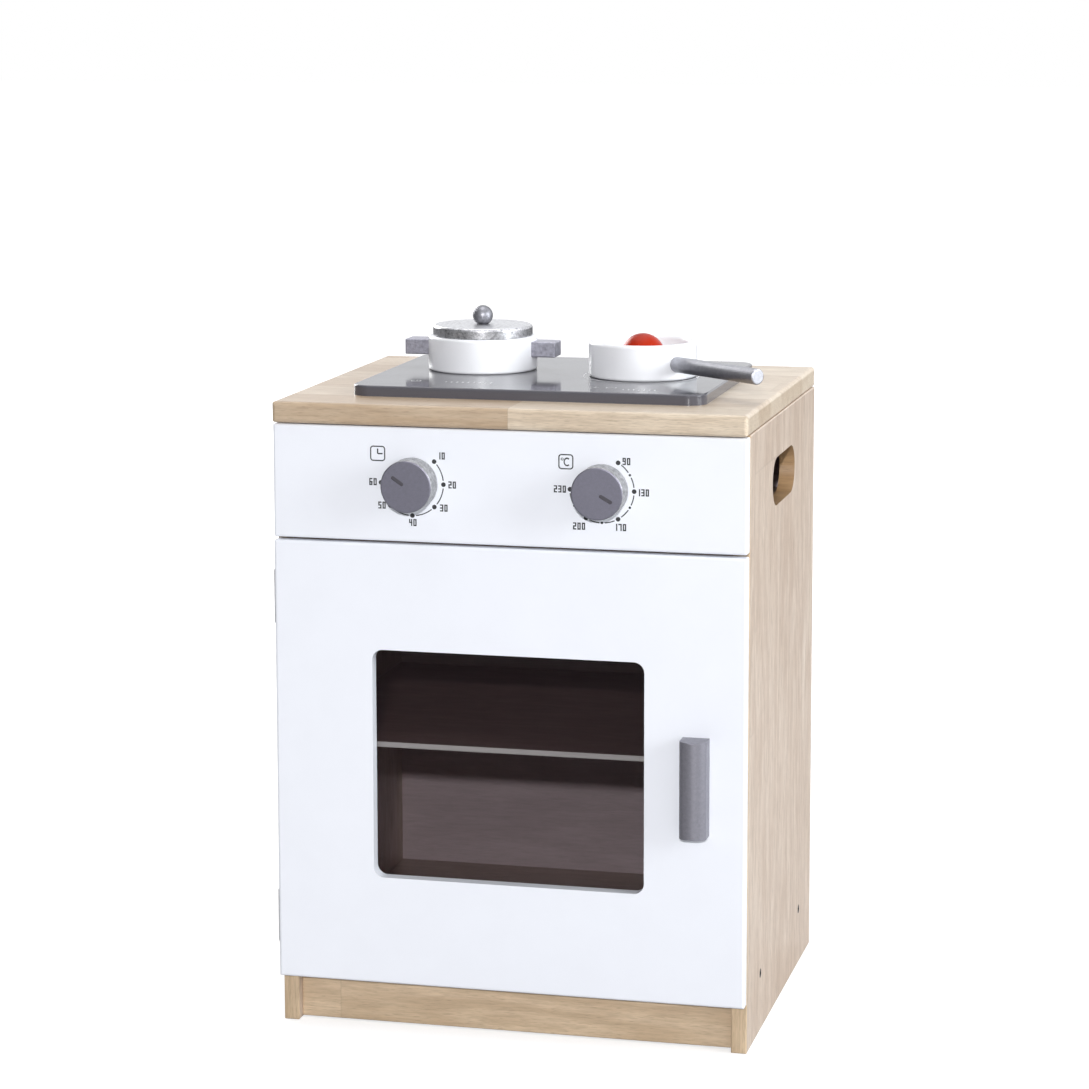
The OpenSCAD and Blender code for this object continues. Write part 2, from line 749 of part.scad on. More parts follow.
module hinge_pin() {
    head = 0.6;
    translate([hinge_x, hinge_y, 0]) {
        translate([0, 0, -leaf_height / 2]) cylinder(h = leaf_height, r = pin_radius);
        for (side = [-1, 1])
            translate([0, 0, side * (leaf_height / 2 + head / 2) - head / 2])
                cylinder(h = head, r = knuckle_radius - 0.2);
    }
}

module hinge_frame_leaf_upper() {
    color(steel_color) translate([0, 0, hinge_zs[1]]) hinge_leaf(1, [-1, 1], pin_radius);
}

module hinge_frame_leaf_lower() {
    color(steel_color) translate([0, 0, hinge_zs[0]]) hinge_leaf(1, [-1, 1], pin_radius);
}

module hinge_pin_upper() {
    color(steel_color) translate([0, 0, hinge_zs[1]]) hinge_pin();
}

module hinge_pin_lower() {
    color(steel_color) translate([0, 0, hinge_zs[0]]) hinge_pin();
}

module hinge_frame_screws() {
    color(steel_color)
        for (z = hinge_zs, dz = [-1, 1])
            translate([hinge_screw_x(), front_y, z + dz * leaf_screw_spacing / 2]) facing("-y")
                crossed(small_screw_head)
                    sunk_screw(small_screw_head, small_screw_radius, frame_screw_length);
}

module catch_magnet() {
    color(steel_color)
        translate([magnet_x, front_y + magnet_length - magnet_reach, magnet_z]) facing("-y")
            cylinder(h = magnet_length, r = magnet_radius);
}

module door_panel() {
    color(white_color) difference() {
        eased_board([left_x, door_front_y, door_bottom],
            [body_width, door_thickness, door_height], front_ease);
        translate([door_mid_x, door_back_y + cut, window_z]) rotate([90, 0, 0])
            linear_extrude(door_thickness + 2 * cut)
                rounded_rect(window_width, window_height, window_corner);
        for (z = hinge_zs) {
            plain_board([left_x - cut, door_back_y - leaf_thickness, z - leaf_height / 2 - fit_clearance],
                [left_x + leaf_width + fit_clearance, door_back_y + cut,
                    z + leaf_height / 2 + fit_clearance]);
            for (dz = [-1, 1])
                translate([hinge_screw_x(), door_back_y, z + dz * leaf_screw_spacing / 2]) facing("+y")
                    sunk_hole(small_screw_head, small_screw_radius, door_screw_length);
        }
        for (p = pane_screw_points())
            translate([p[0], door_back_y + cut, p[1]]) facing("-y")
                cylinder(h = pane_screw_length - pane_thickness + cut + fit_clearance,
                    r = small_screw_radius + fit_clearance);
        for (z = handle_screw_zs)
            translate([handle_x, door_back_y + cut, z]) facing("-y")
                cylinder(h = door_thickness + 2 * cut, r = small_screw_radius + fit_clearance);
        translate([magnet_x, door_back_y + cut, magnet_z]) facing("-y")
            cylinder(h = strike_thickness + cut, r = strike_radius + fit_clearance);
    }
}

// Places of the pane's screws as [x, z]: the corners and the middles of its
// upper and lower edges
function pane_screw_points() = [for (dx = [-1, 0, 1], dz = [-1, 1])
    [door_mid_x + dx * pane_screw_dx, window_z + dz * pane_screw_dz]];

module window_pane() {
    color([0.30, 0.26, 0.25, 0.6]) difference() {
        translate([door_mid_x, pane_rear_y, window_z]) rotate([90, 0, 0])
            linear_extrude(pane_thickness)
                rounded_rect(pane_width, pane_height, window_corner);
        for (p = pane_screw_points())
            translate([p[0], pane_rear_y + cut, p[1]]) facing("-y")
                cylinder(h = pane_thickness + 2 * cut, r = small_screw_radius + fit_clearance);
    }
}

module pane_screws() {
    color(steel_color)
        for (p = pane_screw_points())
            translate([p[0], pane_rear_y, p[1]]) facing("+y")
                crossed(small_screw_head, small_screw_head_height)
                    round_screw(small_screw_head, small_screw_head_height, small_screw_radius,
                        pane_screw_length);
}

// The handle's section: flat sides against the door and a round front
module handle_section() {
    rise = handle_reach - handle_flat;
    front_radius = (pow(handle_width / 2, 2) + rise * rise) / (2 * rise);
    translate([-handle_width / 2, 0]) square([handle_width, handle_flat]);
    intersection() {
        translate([0, handle_reach - front_radius]) circle(front_radius, $fn = 96);
        translate([-handle_width / 2, 0]) square([handle_width, handle_reach]);
    }
}

module door_handle() {
    end_ease = 1.2;
    color(grey_color) difference() {
        intersection() {
            translate([handle_x, door_front_y, handle_z - handle_length / 2])
                linear_extrude(handle_length) rotate([0, 0, 180]) handle_section();
            translate([handle_x + handle_width / 2, door_front_y + end_ease, handle_z])
                rotate([90, 0, -90]) linear_extrude(handle_width)
                    translate([(handle_reach + end_ease) / 2, 0])
                        rounded_rect(handle_reach + end_ease, handle_length, end_ease);
        }
        for (z = handle_screw_zs)
            translate([handle_x, door_front_y + cut, z]) facing("-y")
                cylinder(h = handle_screw_grip + cut + fit_clearance,
                    r = small_screw_radius + fit_clearance);
    }
}

module handle_screws() {
    color(steel_color)
        for (z = handle_screw_zs)
            translate([handle_x, door_back_y, z]) facing("+y")
                crossed(small_screw_head, small_screw_head_height)
                    round_screw(small_screw_head, small_screw_head_height, small_screw_radius,
                        door_thickness + handle_screw_grip);
}

module hinge_door_leaf_upper() {
    color(steel_color) translate([0, 0, hinge_zs[1]])
        hinge_leaf(-1, [0], pin_radius + pin_clearance);
}

module hinge_door_leaf_lower() {
    color(steel_color) translate([0, 0, hinge_zs[0]])
        hinge_leaf(-1, [0], pin_radius + pin_clearance);
}

module hinge_door_screws() {
    color(steel_color)
        for (z = hinge_zs, dz = [-1, 1])
            translate([hinge_screw_x(), door_back_y, z + dz * leaf_screw_spacing / 2]) facing("+y")
                crossed(small_screw_head)
                    sunk_screw(small_screw_head, small_screw_radius, door_screw_length);
}

module strike_disc() {
    color(steel_color)
        translate([magnet_x, door_back_y, magnet_z]) facing("-y")
            cylinder(h = strike_thickness, r = strike_radius);
}

// A turned dial knob on the axis through x, with its pointer groove at an angle
module knob(x, angle) {
    knob_depth = knob_reach - knob_gap;
    translate([x, panel_front_y - knob_gap, knob_z]) facing("-y") difference() {
        rotate_extrude($fn = 96) {
            square([knob_radius, knob_depth - knob_ease]);
            translate([0, knob_depth - knob_ease]) square([knob_radius - knob_ease, knob_ease]);
            translate([knob_radius - knob_ease, knob_depth - knob_ease]) quarter_disc(knob_ease);
        }
        rotate([0, 0, angle])
            translate([pointer_start + pointer_width / 2, -pointer_width / 2, knob_depth - pointer_depth]) {
                cube([pointer_length - pointer_width, pointer_width, pointer_depth + cut]);
                for (end = [0, pointer_length - pointer_width])
                    translate([end, pointer_width / 2, 0])
                        cylinder(h = pointer_depth + cut, r = pointer_width / 2);
            }
        translate([0, 0, -cut])
            cylinder(h = spindle_grip + cut + fit_clearance, r = spindle_radius + fit_clearance);
    }
}

// The screw that carries a knob: its head lies behind the control panel
module spindle(x) {
    translate([x, spindle_seat_y, knob_z]) facing("+y")
        crossed(spindle_head_radius / 1.3, spindle_head_height)
            round_screw(spindle_head_radius, spindle_head_height, spindle_radius, spindle_length);
}

module washer(x) {
    translate([x, front_y + washer_gap, knob_z]) facing("+y") difference() {
        cylinder(h = washer_thickness, r = washer_radius);
        translate([0, 0, -cut])
            cylinder(h = washer_thickness + 2 * cut, r = spindle_radius + fit_clearance);
    }
}

module timer_knob() {
    color(grey_color) knob(timer_x, timer_angle);
}

module timer_spindle() {
    color(steel_color) spindle(timer_x);
}

module timer_washer() {
    color(steel_color) washer(timer_x);
}

module temperature_knob() {
    color(grey_color) knob(temperature_x, temperature_angle);
}

module temperature_spindle() {
    color(steel_color) spindle(temperature_x);
}

module temperature_washer() {
    color(steel_color) washer(temperature_x);
}

// A turned vessel: a floor, a wall whose rim and foot are rounded, and a
// hollow fillet where the two meet inside
module vessel(radius, height, wall, base, ease) {
    fillet = 2;
    rotate_extrude($fn = 128) {
        square([radius - wall + ease, base]);
        translate([radius - wall / 2, height / 2]) rounded_rect(wall, height, min(ease, wall / 2 - 0.01));
        translate([radius - wall - fillet, base]) difference() {
            square(fillet);
            translate([0, fillet]) circle(fillet);
        }
    }
}

// Turns its children from +Z to lie level along an angle about an axis point
module level_from(axis, height, angle) {
    translate(axis + [0, 0, height]) rotate([0, 0, angle]) rotate([0, 90, 0]) children();
}

module pot_body() {
    color(white_color) difference() {
        translate(pot_axis) vessel(pot_radius, pot_height, pot_wall, pot_floor, pot_ease);
        for (angle = [0, 180])
            level_from(pot_axis, grip_z, angle) translate([0, 0, pot_radius - peg_depth])
                cylinder(h = peg_depth + cut, r = grip_peg_radius + fit_clearance);
    }
}

// A block grip with its peg. side is -1 on the left and 1 on the right.
module pot_grip(side) {
    translate(pot_axis) rotate([0, 0, side > 0 ? 0 : 180]) {
        difference() {
            eased_board([pot_radius - grip_width / 2, -grip_width / 2, grip_z - grip_height / 2],
                [grip_reach + grip_width / 2, grip_width, grip_height], grip_ease);
            translate([0, 0, -cut]) cylinder(h = pot_height + 2 * cut, r = pot_radius, $fn = 128);
        }
        translate([pot_radius - peg_depth + fit_clearance, 0, grip_z]) rotate([0, 90, 0])
            cylinder(h = peg_depth + grip_reach / 2, r = grip_peg_radius);
    }
}

module pot_grip_left() {
    color(silver_color) pot_grip(-1);
}

module pot_grip_right() {
    color(silver_color) pot_grip(1);
}

// A turned lid that rests on the pot's rim, with a step that centres it
module pot_lid() {
    step_radius = pot_radius - pot_wall - lid_play;
    under_ease = 0.5;
    color(silver_color) translate([pot_axis[0], pot_axis[1], lid_base_z]) difference() {
        rotate_extrude($fn = 128) {
            translate([0, -lid_step]) square([step_radius, lid_step]);
            translate([0, 0]) square([lid_radius - under_ease, under_ease]);
            translate([0, under_ease]) square([lid_radius, lid_thickness - lid_ease - under_ease]);
            translate([0, lid_thickness - lid_ease]) square([lid_radius - lid_ease, lid_ease]);
            translate([lid_radius - lid_ease, lid_thickness - lid_ease]) quarter_disc(lid_ease);
            translate([lid_radius - under_ease, under_ease]) mirror([0, 1]) quarter_disc(under_ease);
        }
        translate([0, 0, lid_thickness - ball_peg_depth()])
            cylinder(h = ball_peg_depth() + cut, r = ball_peg_radius + fit_clearance);
    }
}

function ball_peg_depth() = 0.7 * lid_thickness;

module lid_knob() {
    color(silver_color)
        translate([pot_axis[0], pot_axis[1], lid_base_z + lid_thickness]) {
            difference() {
                translate([0, 0, ball_radius - ball_flat]) sphere(ball_radius, $fn = 64);
                translate([-ball_radius, -ball_radius, -ball_radius])
                    cube([2 * ball_radius, 2 * ball_radius, ball_radius]);
            }
            translate([0, 0, -ball_peg_depth() + fit_clearance])
                cylinder(h = ball_peg_depth() + ball_flat, r = ball_peg_radius);
        }
}

module pan_body() {
    color(white_color) difference() {
        translate(pan_axis) vessel(pan_radius, pan_height, pan_wall, pan_floor, pan_ease);
        level_from(pan_axis, pan_handle_z, pan_handle_angle)
            translate([0, 0, pan_radius - tenon_depth()])
                cylinder(h = tenon_depth() + cut, r = tenon_radius + fit_clearance);
    }
}

function tenon_depth() = pan_wall - 0.5;

// A dowel handle, shaped to the pan's wall at its root, with its tenon
module pan_handle() {
    root = pan_radius - pan_handle_radius;
    length = pan_handle_length + pan_handle_radius;
    color(grey_color) {
        difference() {
            level_from(pan_axis, pan_handle_z, pan_handle_angle) translate([0, 0, root])
                rotate_extrude() {
                    square([pan_handle_radius, length - pan_handle_ease]);
                    translate([0, length - pan_handle_ease])
                        square([pan_handle_radius - pan_handle_ease, pan_handle_ease]);
                    translate([pan_handle_radius - pan_handle_ease, length - pan_handle_ease])
                        quarter_disc(pan_handle_ease);
                }
            translate(pan_axis) cylinder(h = pan_height, r = pan_radius, $fn = 128);
        }
        level_from(pan_axis, pan_handle_z, pan_handle_angle)
            translate([0, 0, pan_radius - tenon_depth() + fit_clearance])
                cylinder(h = 2 * tenon_depth(), r = tenon_radius);
    }
}

module egg_white() {
    color(white_color) translate([pan_axis[0], pan_axis[1], egg_base_z])
        rotate_extrude($fn = 96) intersection() {
            translate([0, egg_thickness / 2]) rounded_rect(2 * egg_radius, egg_thickness, egg_ease);
            square([egg_radius, egg_thickness]);
        }
}

module egg_yolk() {
    color([0.85, 0.26, 0.12]) translate([pan_axis[0], pan_axis[1], egg_base_z + egg_thickness])
        rotate_extrude($fn = 96) quarter_disc(yolk_radius);
}

side_panel_left();
side_panel_right();
bottom_panel();
oven_ceiling();
back_panel();
plinth();
shelf();
worktop();
control_panel();
hob_plate();
worktop_dowels();
ceiling_dowels();
control_panel_dowels();
cabinet_screws();
back_panel_screws();
hob_screws();
hinge_frame_leaf_upper();
hinge_frame_leaf_lower();
hinge_pin_upper();
hinge_pin_lower();
hinge_frame_screws();
catch_magnet();
door_panel();
window_pane();
pane_screws();
door_handle();
handle_screws();
hinge_door_leaf_upper();
hinge_door_leaf_lower();
hinge_door_screws();
strike_disc();
timer_knob();
timer_spindle();
timer_washer();
temperature_knob();
temperature_spindle();
temperature_washer();
pot_body();
pot_grip_left();
pot_grip_right();
pot_lid();
lid_knob();
pan_body();
pan_handle();
egg_white();
egg_yolk();
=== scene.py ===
"""Toy oven: finishes, printed marks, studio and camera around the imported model."""

import logging
import math
from collections.abc import Callable
from dataclasses import dataclass, field
from enum import Enum

import bmesh
import bpy
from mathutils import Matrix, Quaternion, Vector


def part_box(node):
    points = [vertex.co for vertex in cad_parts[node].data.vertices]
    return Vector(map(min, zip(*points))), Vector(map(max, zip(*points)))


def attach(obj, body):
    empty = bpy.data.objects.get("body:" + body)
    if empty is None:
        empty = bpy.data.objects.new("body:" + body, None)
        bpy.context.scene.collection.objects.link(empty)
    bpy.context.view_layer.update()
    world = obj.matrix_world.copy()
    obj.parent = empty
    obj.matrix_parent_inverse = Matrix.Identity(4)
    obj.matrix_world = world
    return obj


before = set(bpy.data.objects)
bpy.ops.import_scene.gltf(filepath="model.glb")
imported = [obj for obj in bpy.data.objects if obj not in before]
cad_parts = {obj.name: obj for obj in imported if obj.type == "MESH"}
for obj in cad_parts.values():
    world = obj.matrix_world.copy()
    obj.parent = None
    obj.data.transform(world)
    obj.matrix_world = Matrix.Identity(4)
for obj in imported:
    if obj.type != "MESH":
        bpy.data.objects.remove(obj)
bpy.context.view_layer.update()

LOG = logging.getLogger("toy_oven")

# How far a face's middle may lie from a piece's outside, in metres, and still count as outside.
SKIN = 0.0008

Color = tuple[float, float, float]
Point = tuple[float, float]
Socket = bpy.types.NodeSocket


class Axis(Enum):
    """One of the object's own axes."""

    X = "X"
    Y = "Y"
    Z = "Z"


class Plane(Enum):
    """The plane on which printed marks lie."""

    FRONT = "front"
    TOP = "top"


class NodeTree:
    """Adds nodes to an emptied tree."""

    def __init__(self, tree: bpy.types.NodeTree) -> None:
        """Empties the tree.

        Args:
            tree: The tree of a material or of the world.
        """
        self.tree = tree
        self.tree.nodes.clear()

    def node(self, kind: str, inputs: dict | None = None, **settings: object) -> bpy.types.Node:
        """Adds a node.

        Args:
            kind: The node's type.
            inputs: Values or sockets for its inputs, by name or number.
            settings: The node's own properties.

        Returns:
            The new node.
        """
        made = self.tree.nodes.new(kind)
        for key, value in settings.items():
            setattr(made, key, value)
        for key, value in (inputs or {}).items():
            socket = made.inputs[key]
            if isinstance(value, Socket):
                self.tree.links.new(value, socket)
            elif isinstance(value, tuple) and len(value) == 3 and socket.type == "RGBA":
                socket.default_value = (*value, 1.0)
            else:
                socket.default_value = value
        return made

    def math(
        self, operation: str, first: object, second: object = 0.0, third: object = 0.0
    ) -> Socket:
        """Works out one number.

        Args:
            operation: The Math node's operation.
            first: First number or socket.
            second: Second number or socket.
            third: Third number or socket.

        Returns:
            The result's socket.
        """
        made = self.node("ShaderNodeMath", {0: first, 1: second, 2: third}, operation=operation)
        return made.outputs[0]

    def remap(
        self, value: Socket, low: float, high: float, to_low: float, to_high: float
    ) -> Socket:
        """Stretches a range of numbers onto another, with its ends held.

        Args:
            value: The number's socket.
            low: Start of the range.
            high: End of the range.
            to_low: What the start becomes.
            to_high: What the end becomes.

        Returns:
            The result's socket.
        """
        made = self.node(
            "ShaderNodeMapRange", {0: value, 1: low, 2: high, 3: to_low, 4: to_high}, clamp=True
        )
        return made.outputs[0]


class Graph(NodeTree):
    """Writes the node tree of one material."""

    def __init__(self, name: str) -> None:
        """Makes an empty material.

        Args:
            name: The material's name.
        """
        self.material = bpy.data.materials.new(name)
        self.material.use_nodes = True
        super().__init__(self.material.node_tree)

    def place(self) -> dict[str, Socket]:
        """Gives the object's own coordinates in metres.

        Returns:
            The three sockets by axis name, and the whole vector as "all".
        """
        source = self.node("ShaderNodeTexCoord").outputs["Object"]
        split = self.node("ShaderNodeSeparateXYZ", {0: source})
        return {"X": split.outputs[0], "Y": split.outputs[1], "Z": split.outputs[2], "all": source}

    def vector(self, x: object, y: object, z: object) -> Socket:
        """Joins three numbers into a vector.

        Args:
            x: First number or socket.
            y: Second number or socket.
            z: Third number or socket.

        Returns:
            The vector's socket.
        """
        return self.node("ShaderNodeCombineXYZ", {0: x, 1: y, 2: z}).outputs[0]

    def noise(
        self, vector: Socket, scale: float = 1.0, detail: float = 3.0, roughness: float = 0.5
    ) -> Socket:
        """Adds a soft noise.

        Args:
            vector: Where it is read.
            scale: Features per unit of the vector.
            detail: Number of finer layers.
            roughness: Strength of the finer layers.

        Returns:
            The noise's value socket.
        """
        made = self.node(
            "ShaderNodeTexNoise",
            {"Vector": vector, "Scale": scale, "Detail": detail, "Roughness": roughness},
        )
        return made.outputs[0]

    def spread(self, noise: Socket, to_low: float, to_high: float) -> Socket:
        """Stretches the middle range of a noise onto another range.

        Args:
            noise: The noise's socket.
            to_low: What a weak value becomes.
            to_high: What a strong value becomes.

        Returns:
            The result's socket.
        """
        return self.remap(noise, 0.3, 0.7, to_low, to_high)

    def scatter(self, first: object, second: object, seed: float) -> Socket:
        """Gives a fixed scattered number from 0 to 1 for each pair of whole numbers.

        Args:
            first: First number or socket.
            second: Second number or socket.
            seed: Chooses another set.

        Returns:
            The number's socket.
        """
        turn = self.math("MULTIPLY_ADD", first, 1.37, 0.73 * seed)
        wave = self.math("SINE", self.math("MULTIPLY_ADD", second, 2.91, turn))
        return self.math("FRACT", self.math("MULTIPLY", wave, 41.7))

    def mix(self, amount: object, first: object, second: object) -> Socket:
        """Mixes two colours.

        Args:
            amount: Share of the second colour.
            first: First colour or socket.
            second: Second colour or socket.

        Returns:
            The mixed colour's socket.
        """
        made = self.node("ShaderNodeMix", {0: amount, 6: first, 7: second}, data_type="RGBA")
        return made.outputs[2]

    def bump(self, height: Socket, strength: float, distance: float) -> Socket:
        """Turns a height into a surface normal.

        Args:
            height: The height's socket.
            strength: Share of the effect.
            distance: Depth in metres.

        Returns:
            The normal's socket.
        """
        made = self.node(
            "ShaderNodeBump", {"Height": height, "Strength": strength, "Distance": distance}
        )
        return made.outputs[0]

    def surface(self, **inputs: object) -> bpy.types.Material:
        """Closes the tree with a Principled surface.

        Args:
            inputs: The shader's inputs, with underscores for spaces.

        Returns:
            The finished material.
        """
        named = {key.replace("_", " "): value for key, value in inputs.items()}
        shader = self.node("ShaderNodeBsdfPrincipled", named)
        out = self.node("ShaderNodeOutputMaterial")
        self.tree.links.new(shader.outputs[0], out.inputs[0])
        return self.material


@dataclass(frozen=True)
class Finish:
    """A surface finish. Each kind builds its own material."""

    name: str

    def build(self) -> bpy.types.Material:
        """Builds the material.

        Returns:
            The material.
        """
        raise NotImplementedError


@dataclass(frozen=True)
class GrainLayer:
    """One noise of the wood, drawn out along the grain. Sizes are features per metre."""

    along: float
    across: float
    detail: float
    roughness: float = 0.5

    def add(self, g: Graph, spot: tuple[Socket, ...], jump: Socket) -> Socket:
        """Adds the noise to a material.

        Args:
            g: The material's graph.
            spot: Places along the grain, across it and in depth.
            jump: What sets one stave's noise apart from the next.

        Returns:
            The noise's value socket.
        """
        place = g.vector(
            g.math("MULTIPLY_ADD", spot[0], self.along, jump),
            g.math("MULTIPLY", spot[1], self.across),
            g.math("MULTIPLY", spot[2], self.across),
        )
        return g.noise(place, detail=self.detail, roughness=self.roughness)


GROWTH = GrainLayer(2.2, 11.0, 4.0, 0.45)
CLOUDS = GrainLayer(12.0, 95.0, 5.0, 0.65)
FIBRES = GrainLayer(55.0, 700.0, 4.0, 0.6)
PORES = GrainLayer(120.0, 1900.0, 1.0)


@dataclass(frozen=True)
class WoodFinish(Finish):
    """Lacquered board glued up from staves, with fine grain and open pores."""

    light: Color
    dark: Color
    grain: Axis
    across: Axis
    stave_width: float = 0.055
    stave_length: float = 0.6
    stave_contrast: float = 0.6
    seed: float = 0.0
    streak: float = 0.42
    flame: float = 0.3
    rings: float = 11.0
    roughness: float = 0.42

    def build(self) -> bpy.types.Material:
        """Builds the wood.

        Returns:
            The material.
        """
        g = Graph(self.name)
        place = g.place()
        third = next(a for a in Axis if a not in (self.grain, self.across))
        spot = tuple(place[axis.value] for axis in (self.grain, self.across, third))
        row = g.math("DIVIDE", spot[1], self.stave_width)
        column = g.math("FLOOR", row)
        shift = g.scatter(column, 0.0, self.seed + 5.0)
        slid = g.math("ADD", g.math("DIVIDE", spot[0], self.stave_length), shift)
        stave = g.scatter(column, g.math("FLOOR", slid), self.seed)
        jump = g.math("MULTIPLY", stave, 37.0)
        layers = (GROWTH, CLOUDS, FIBRES, PORES)
        growth, clouds, fine, pores = (layer.add(g, spot, jump) for layer in layers)
        ridges = g.math("PINGPONG", g.math("MULTIPLY", growth, self.rings), 0.5)
        rings = g.math("MULTIPLY", ridges, 2.0)
        soft = g.math("MULTIPLY", clouds, 1.0 - 0.5 * self.flame)
        figure = g.math("MULTIPLY_ADD", rings, self.flame, soft)
        tone = g.math(
            "ADD",
            g.math("MULTIPLY", stave, self.stave_contrast),
            g.math("MULTIPLY", g.spread(figure, 0.0, 1.0), 1.0 - self.stave_contrast),
        )
        body = g.mix(tone, self.light, self.dark)
        streak_color, pore_color, seam_color = (
            tuple(share * c for c in self.dark) for share in (0.6, 0.5, 0.45)
        )
        streaks = g.mix(g.remap(fine, 0.4, 0.7, 0.0, self.streak), body, streak_color)
        pored = g.mix(g.remap(pores, 0.58, 0.72, 0.0, 1.1 * self.streak), streaks, pore_color)
        seam = g.math(
            "MINIMUM",
            g.math("PINGPONG", row, 0.5),
            g.math("MULTIPLY", g.math("PINGPONG", slid, 0.5), self.stave_length / self.stave_width),
        )
        line = g.remap(seam, 0.0, 0.012, 0.2, 0.0)
        color = g.mix(line, pored, seam_color)
        relief = g.math("SUBTRACT", fine, g.remap(pores, 0.6, 0.72, 0.0, 0.7))
        return g.surface(
            Base_Color=color,
            Roughness=g.spread(fine, self.roughness - 0.06, self.roughness + 0.08),
            Coat_Weight=0.4,
            Coat_Roughness=0.3,
            Normal=g.bump(relief, 0.35, 0.00012),
        )


@dataclass(frozen=True)
class PaintFinish(Finish):
    """Sprayed or rolled paint on wood, with a faint orange peel."""

    color: Color
    roughness: float = 0.34
    mottle: float = 0.02
    peel: float = 0.05
    specular: float = 0.5

    def build(self) -> bpy.types.Material:
        """Builds the paint.

        Returns:
            The material.
        """
        g = Graph(self.name)
        place = g.place()["all"]
        cloud = g.noise(place, 28.0, 3.0)
        skin = g.noise(place, 950.0, 2.0)
        darker = tuple(c * (1.0 - 2.0 * self.mottle) for c in self.color)
        return g.surface(
            Base_Color=g.mix(g.spread(cloud, 0.0, 1.0), self.color, darker),
            Roughness=g.spread(skin, self.roughness - 0.03, self.roughness + 0.05),
            Specular_IOR_Level=self.specular,
            Normal=g.bump(skin, self.peel, 0.0001),
        )


@dataclass(frozen=True)
class MetallicPaintFinish(Finish):
    """Paint with metal flake, mottled where sprayed on wood, with painted shade where it turns
    away.
    """

    color: Color
    metallic: float = 0.7
    roughness: float = 0.4
    mottle: float = 0.16
    flake_scale: float = 700.0
    # Share of painted shade that darkens the colour where the surface turns away from the viewer.
    painted_rim_shade: float = 0.0

    def build(self) -> bpy.types.Material:
        """Builds the flake paint.

        Returns:
            The material.
        """
        g = Graph(self.name)
        place = g.place()["all"]
        patch = g.noise(place, self.flake_scale * 0.5, 3.0, 0.6)
        flake = g.noise(place, self.flake_scale * 2.2, 2.0, 0.7)
        both = g.math("ADD", g.math("MULTIPLY", patch, 0.6), g.math("MULTIPLY", flake, 0.4))
        bright = tuple(min(1.0, c * (1.0 + self.mottle)) for c in self.color)
        dark = tuple(c * (1.0 - self.mottle) for c in self.color)
        color = g.mix(g.remap(both, 0.35, 0.65, 0.0, 1.0), dark, bright)
        # Painted shade: the colour darkens towards a quarter of itself where the surface turns away
        # from the viewer.
        if self.painted_rim_shade > 0.0:
            facing = g.node("ShaderNodeLayerWeight", {"Blend": 0.5}).outputs["Facing"]
            shade = tuple(0.25 * c for c in self.color)
            color = g.mix(g.remap(facing, 0.3, 0.9, 0.0, self.painted_rim_shade), color, shade)
        return g.surface(
            Base_Color=color,
            Metallic=self.metallic,
            Roughness=g.spread(both, self.roughness + 0.08, self.roughness - 0.06),
            Normal=g.bump(both, 0.22, 0.00018),
        )


@dataclass(frozen=True)
class GlossBoardFinish(Finish):
    """High-gloss dark coating with faint ripples under its clear coat."""

    color: Color
    roughness: float = 0.09

    def build(self) -> bpy.types.Material:
        """Builds the coating.

        Returns:
            The material.
        """
        g = Graph(self.name)
        place = g.place()["all"]
        ripple = g.noise(place, 34.0, 2.0)
        speck = g.noise(place, 2600.0, 1.0)
        lighter = tuple(c * 1.25 for c in self.color)
        return g.surface(
            Base_Color=g.mix(g.remap(speck, 0.5, 0.75, 0.0, 0.6), self.color, lighter),
            Roughness=g.spread(ripple, self.roughness - 0.02, self.roughness + 0.04),
            IOR=1.45,
            Normal=g.bump(ripple, 0.12, 0.0002),
        )


@dataclass(frozen=True)
class SmokedSheetFinish(Finish):
    """A dark clear sheet: part of the light passes, and its faces reflect."""

    color: Color
    cover: float = 0.45

    def build(self) -> bpy.types.Material:
        """Builds the sheet.

        Returns:
            The material.
        """
        g = Graph(self.name)
        haze = g.noise(g.place()["all"], 55.0, 3.0)
        lighter = tuple(c * 1.3 for c in self.color)
        return g.surface(
            Base_Color=g.mix(haze, self.color, lighter),
            Roughness=g.spread(haze, 0.03, 0.07),
            IOR=1.35,
            Alpha=self.cover,
        )


@dataclass(frozen=True)
class SteelFinish(Finish):
    """Plain or blackened steel with fine scratches."""

    color: Color
    metallic: float = 1.0
    roughness: float = 0.32

    def build(self) -> bpy.types.Material:
        """Builds the steel.

        Returns:
            The material.
        """
        g = Graph(self.name)
        place = g.place()
        scratch = g.noise(
            g.vector(
                g.math("MULTIPLY", place["X"], 400.0),
                g.math("MULTIPLY", place["Y"], 400.0),
                g.math("MULTIPLY", place["Z"], 4000.0),
            ),
            detail=2.0,
        )
        dark = tuple(0.8 * c for c in self.color)
        return g.surface(
            Base_Color=g.mix(scratch, self.color, dark),
            Metallic=self.metallic,
            Roughness=g.spread(scratch, self.roughness - 0.06, self.roughness + 0.1),
            Normal=g.bump(scratch, 0.1, 0.00005),
        )


@dataclass(frozen=True)
class InkFinish(Finish):
    """Screen-printed ink, slightly uneven in its cover."""

    color: Color

    def build(self) -> bpy.types.Material:
        """Builds the ink.

        Returns:
            The material.
        """
        g = Graph(self.name)
        grain = g.noise(g.place()["all"], 1500.0, 2.0)
        lighter = tuple(min(1.0, c + 0.03) for c in self.color)
        return g.surface(
            Base_Color=g.mix(grain, self.color, lighter),
            Roughness=g.spread(grain, 0.45, 0.6),
        )
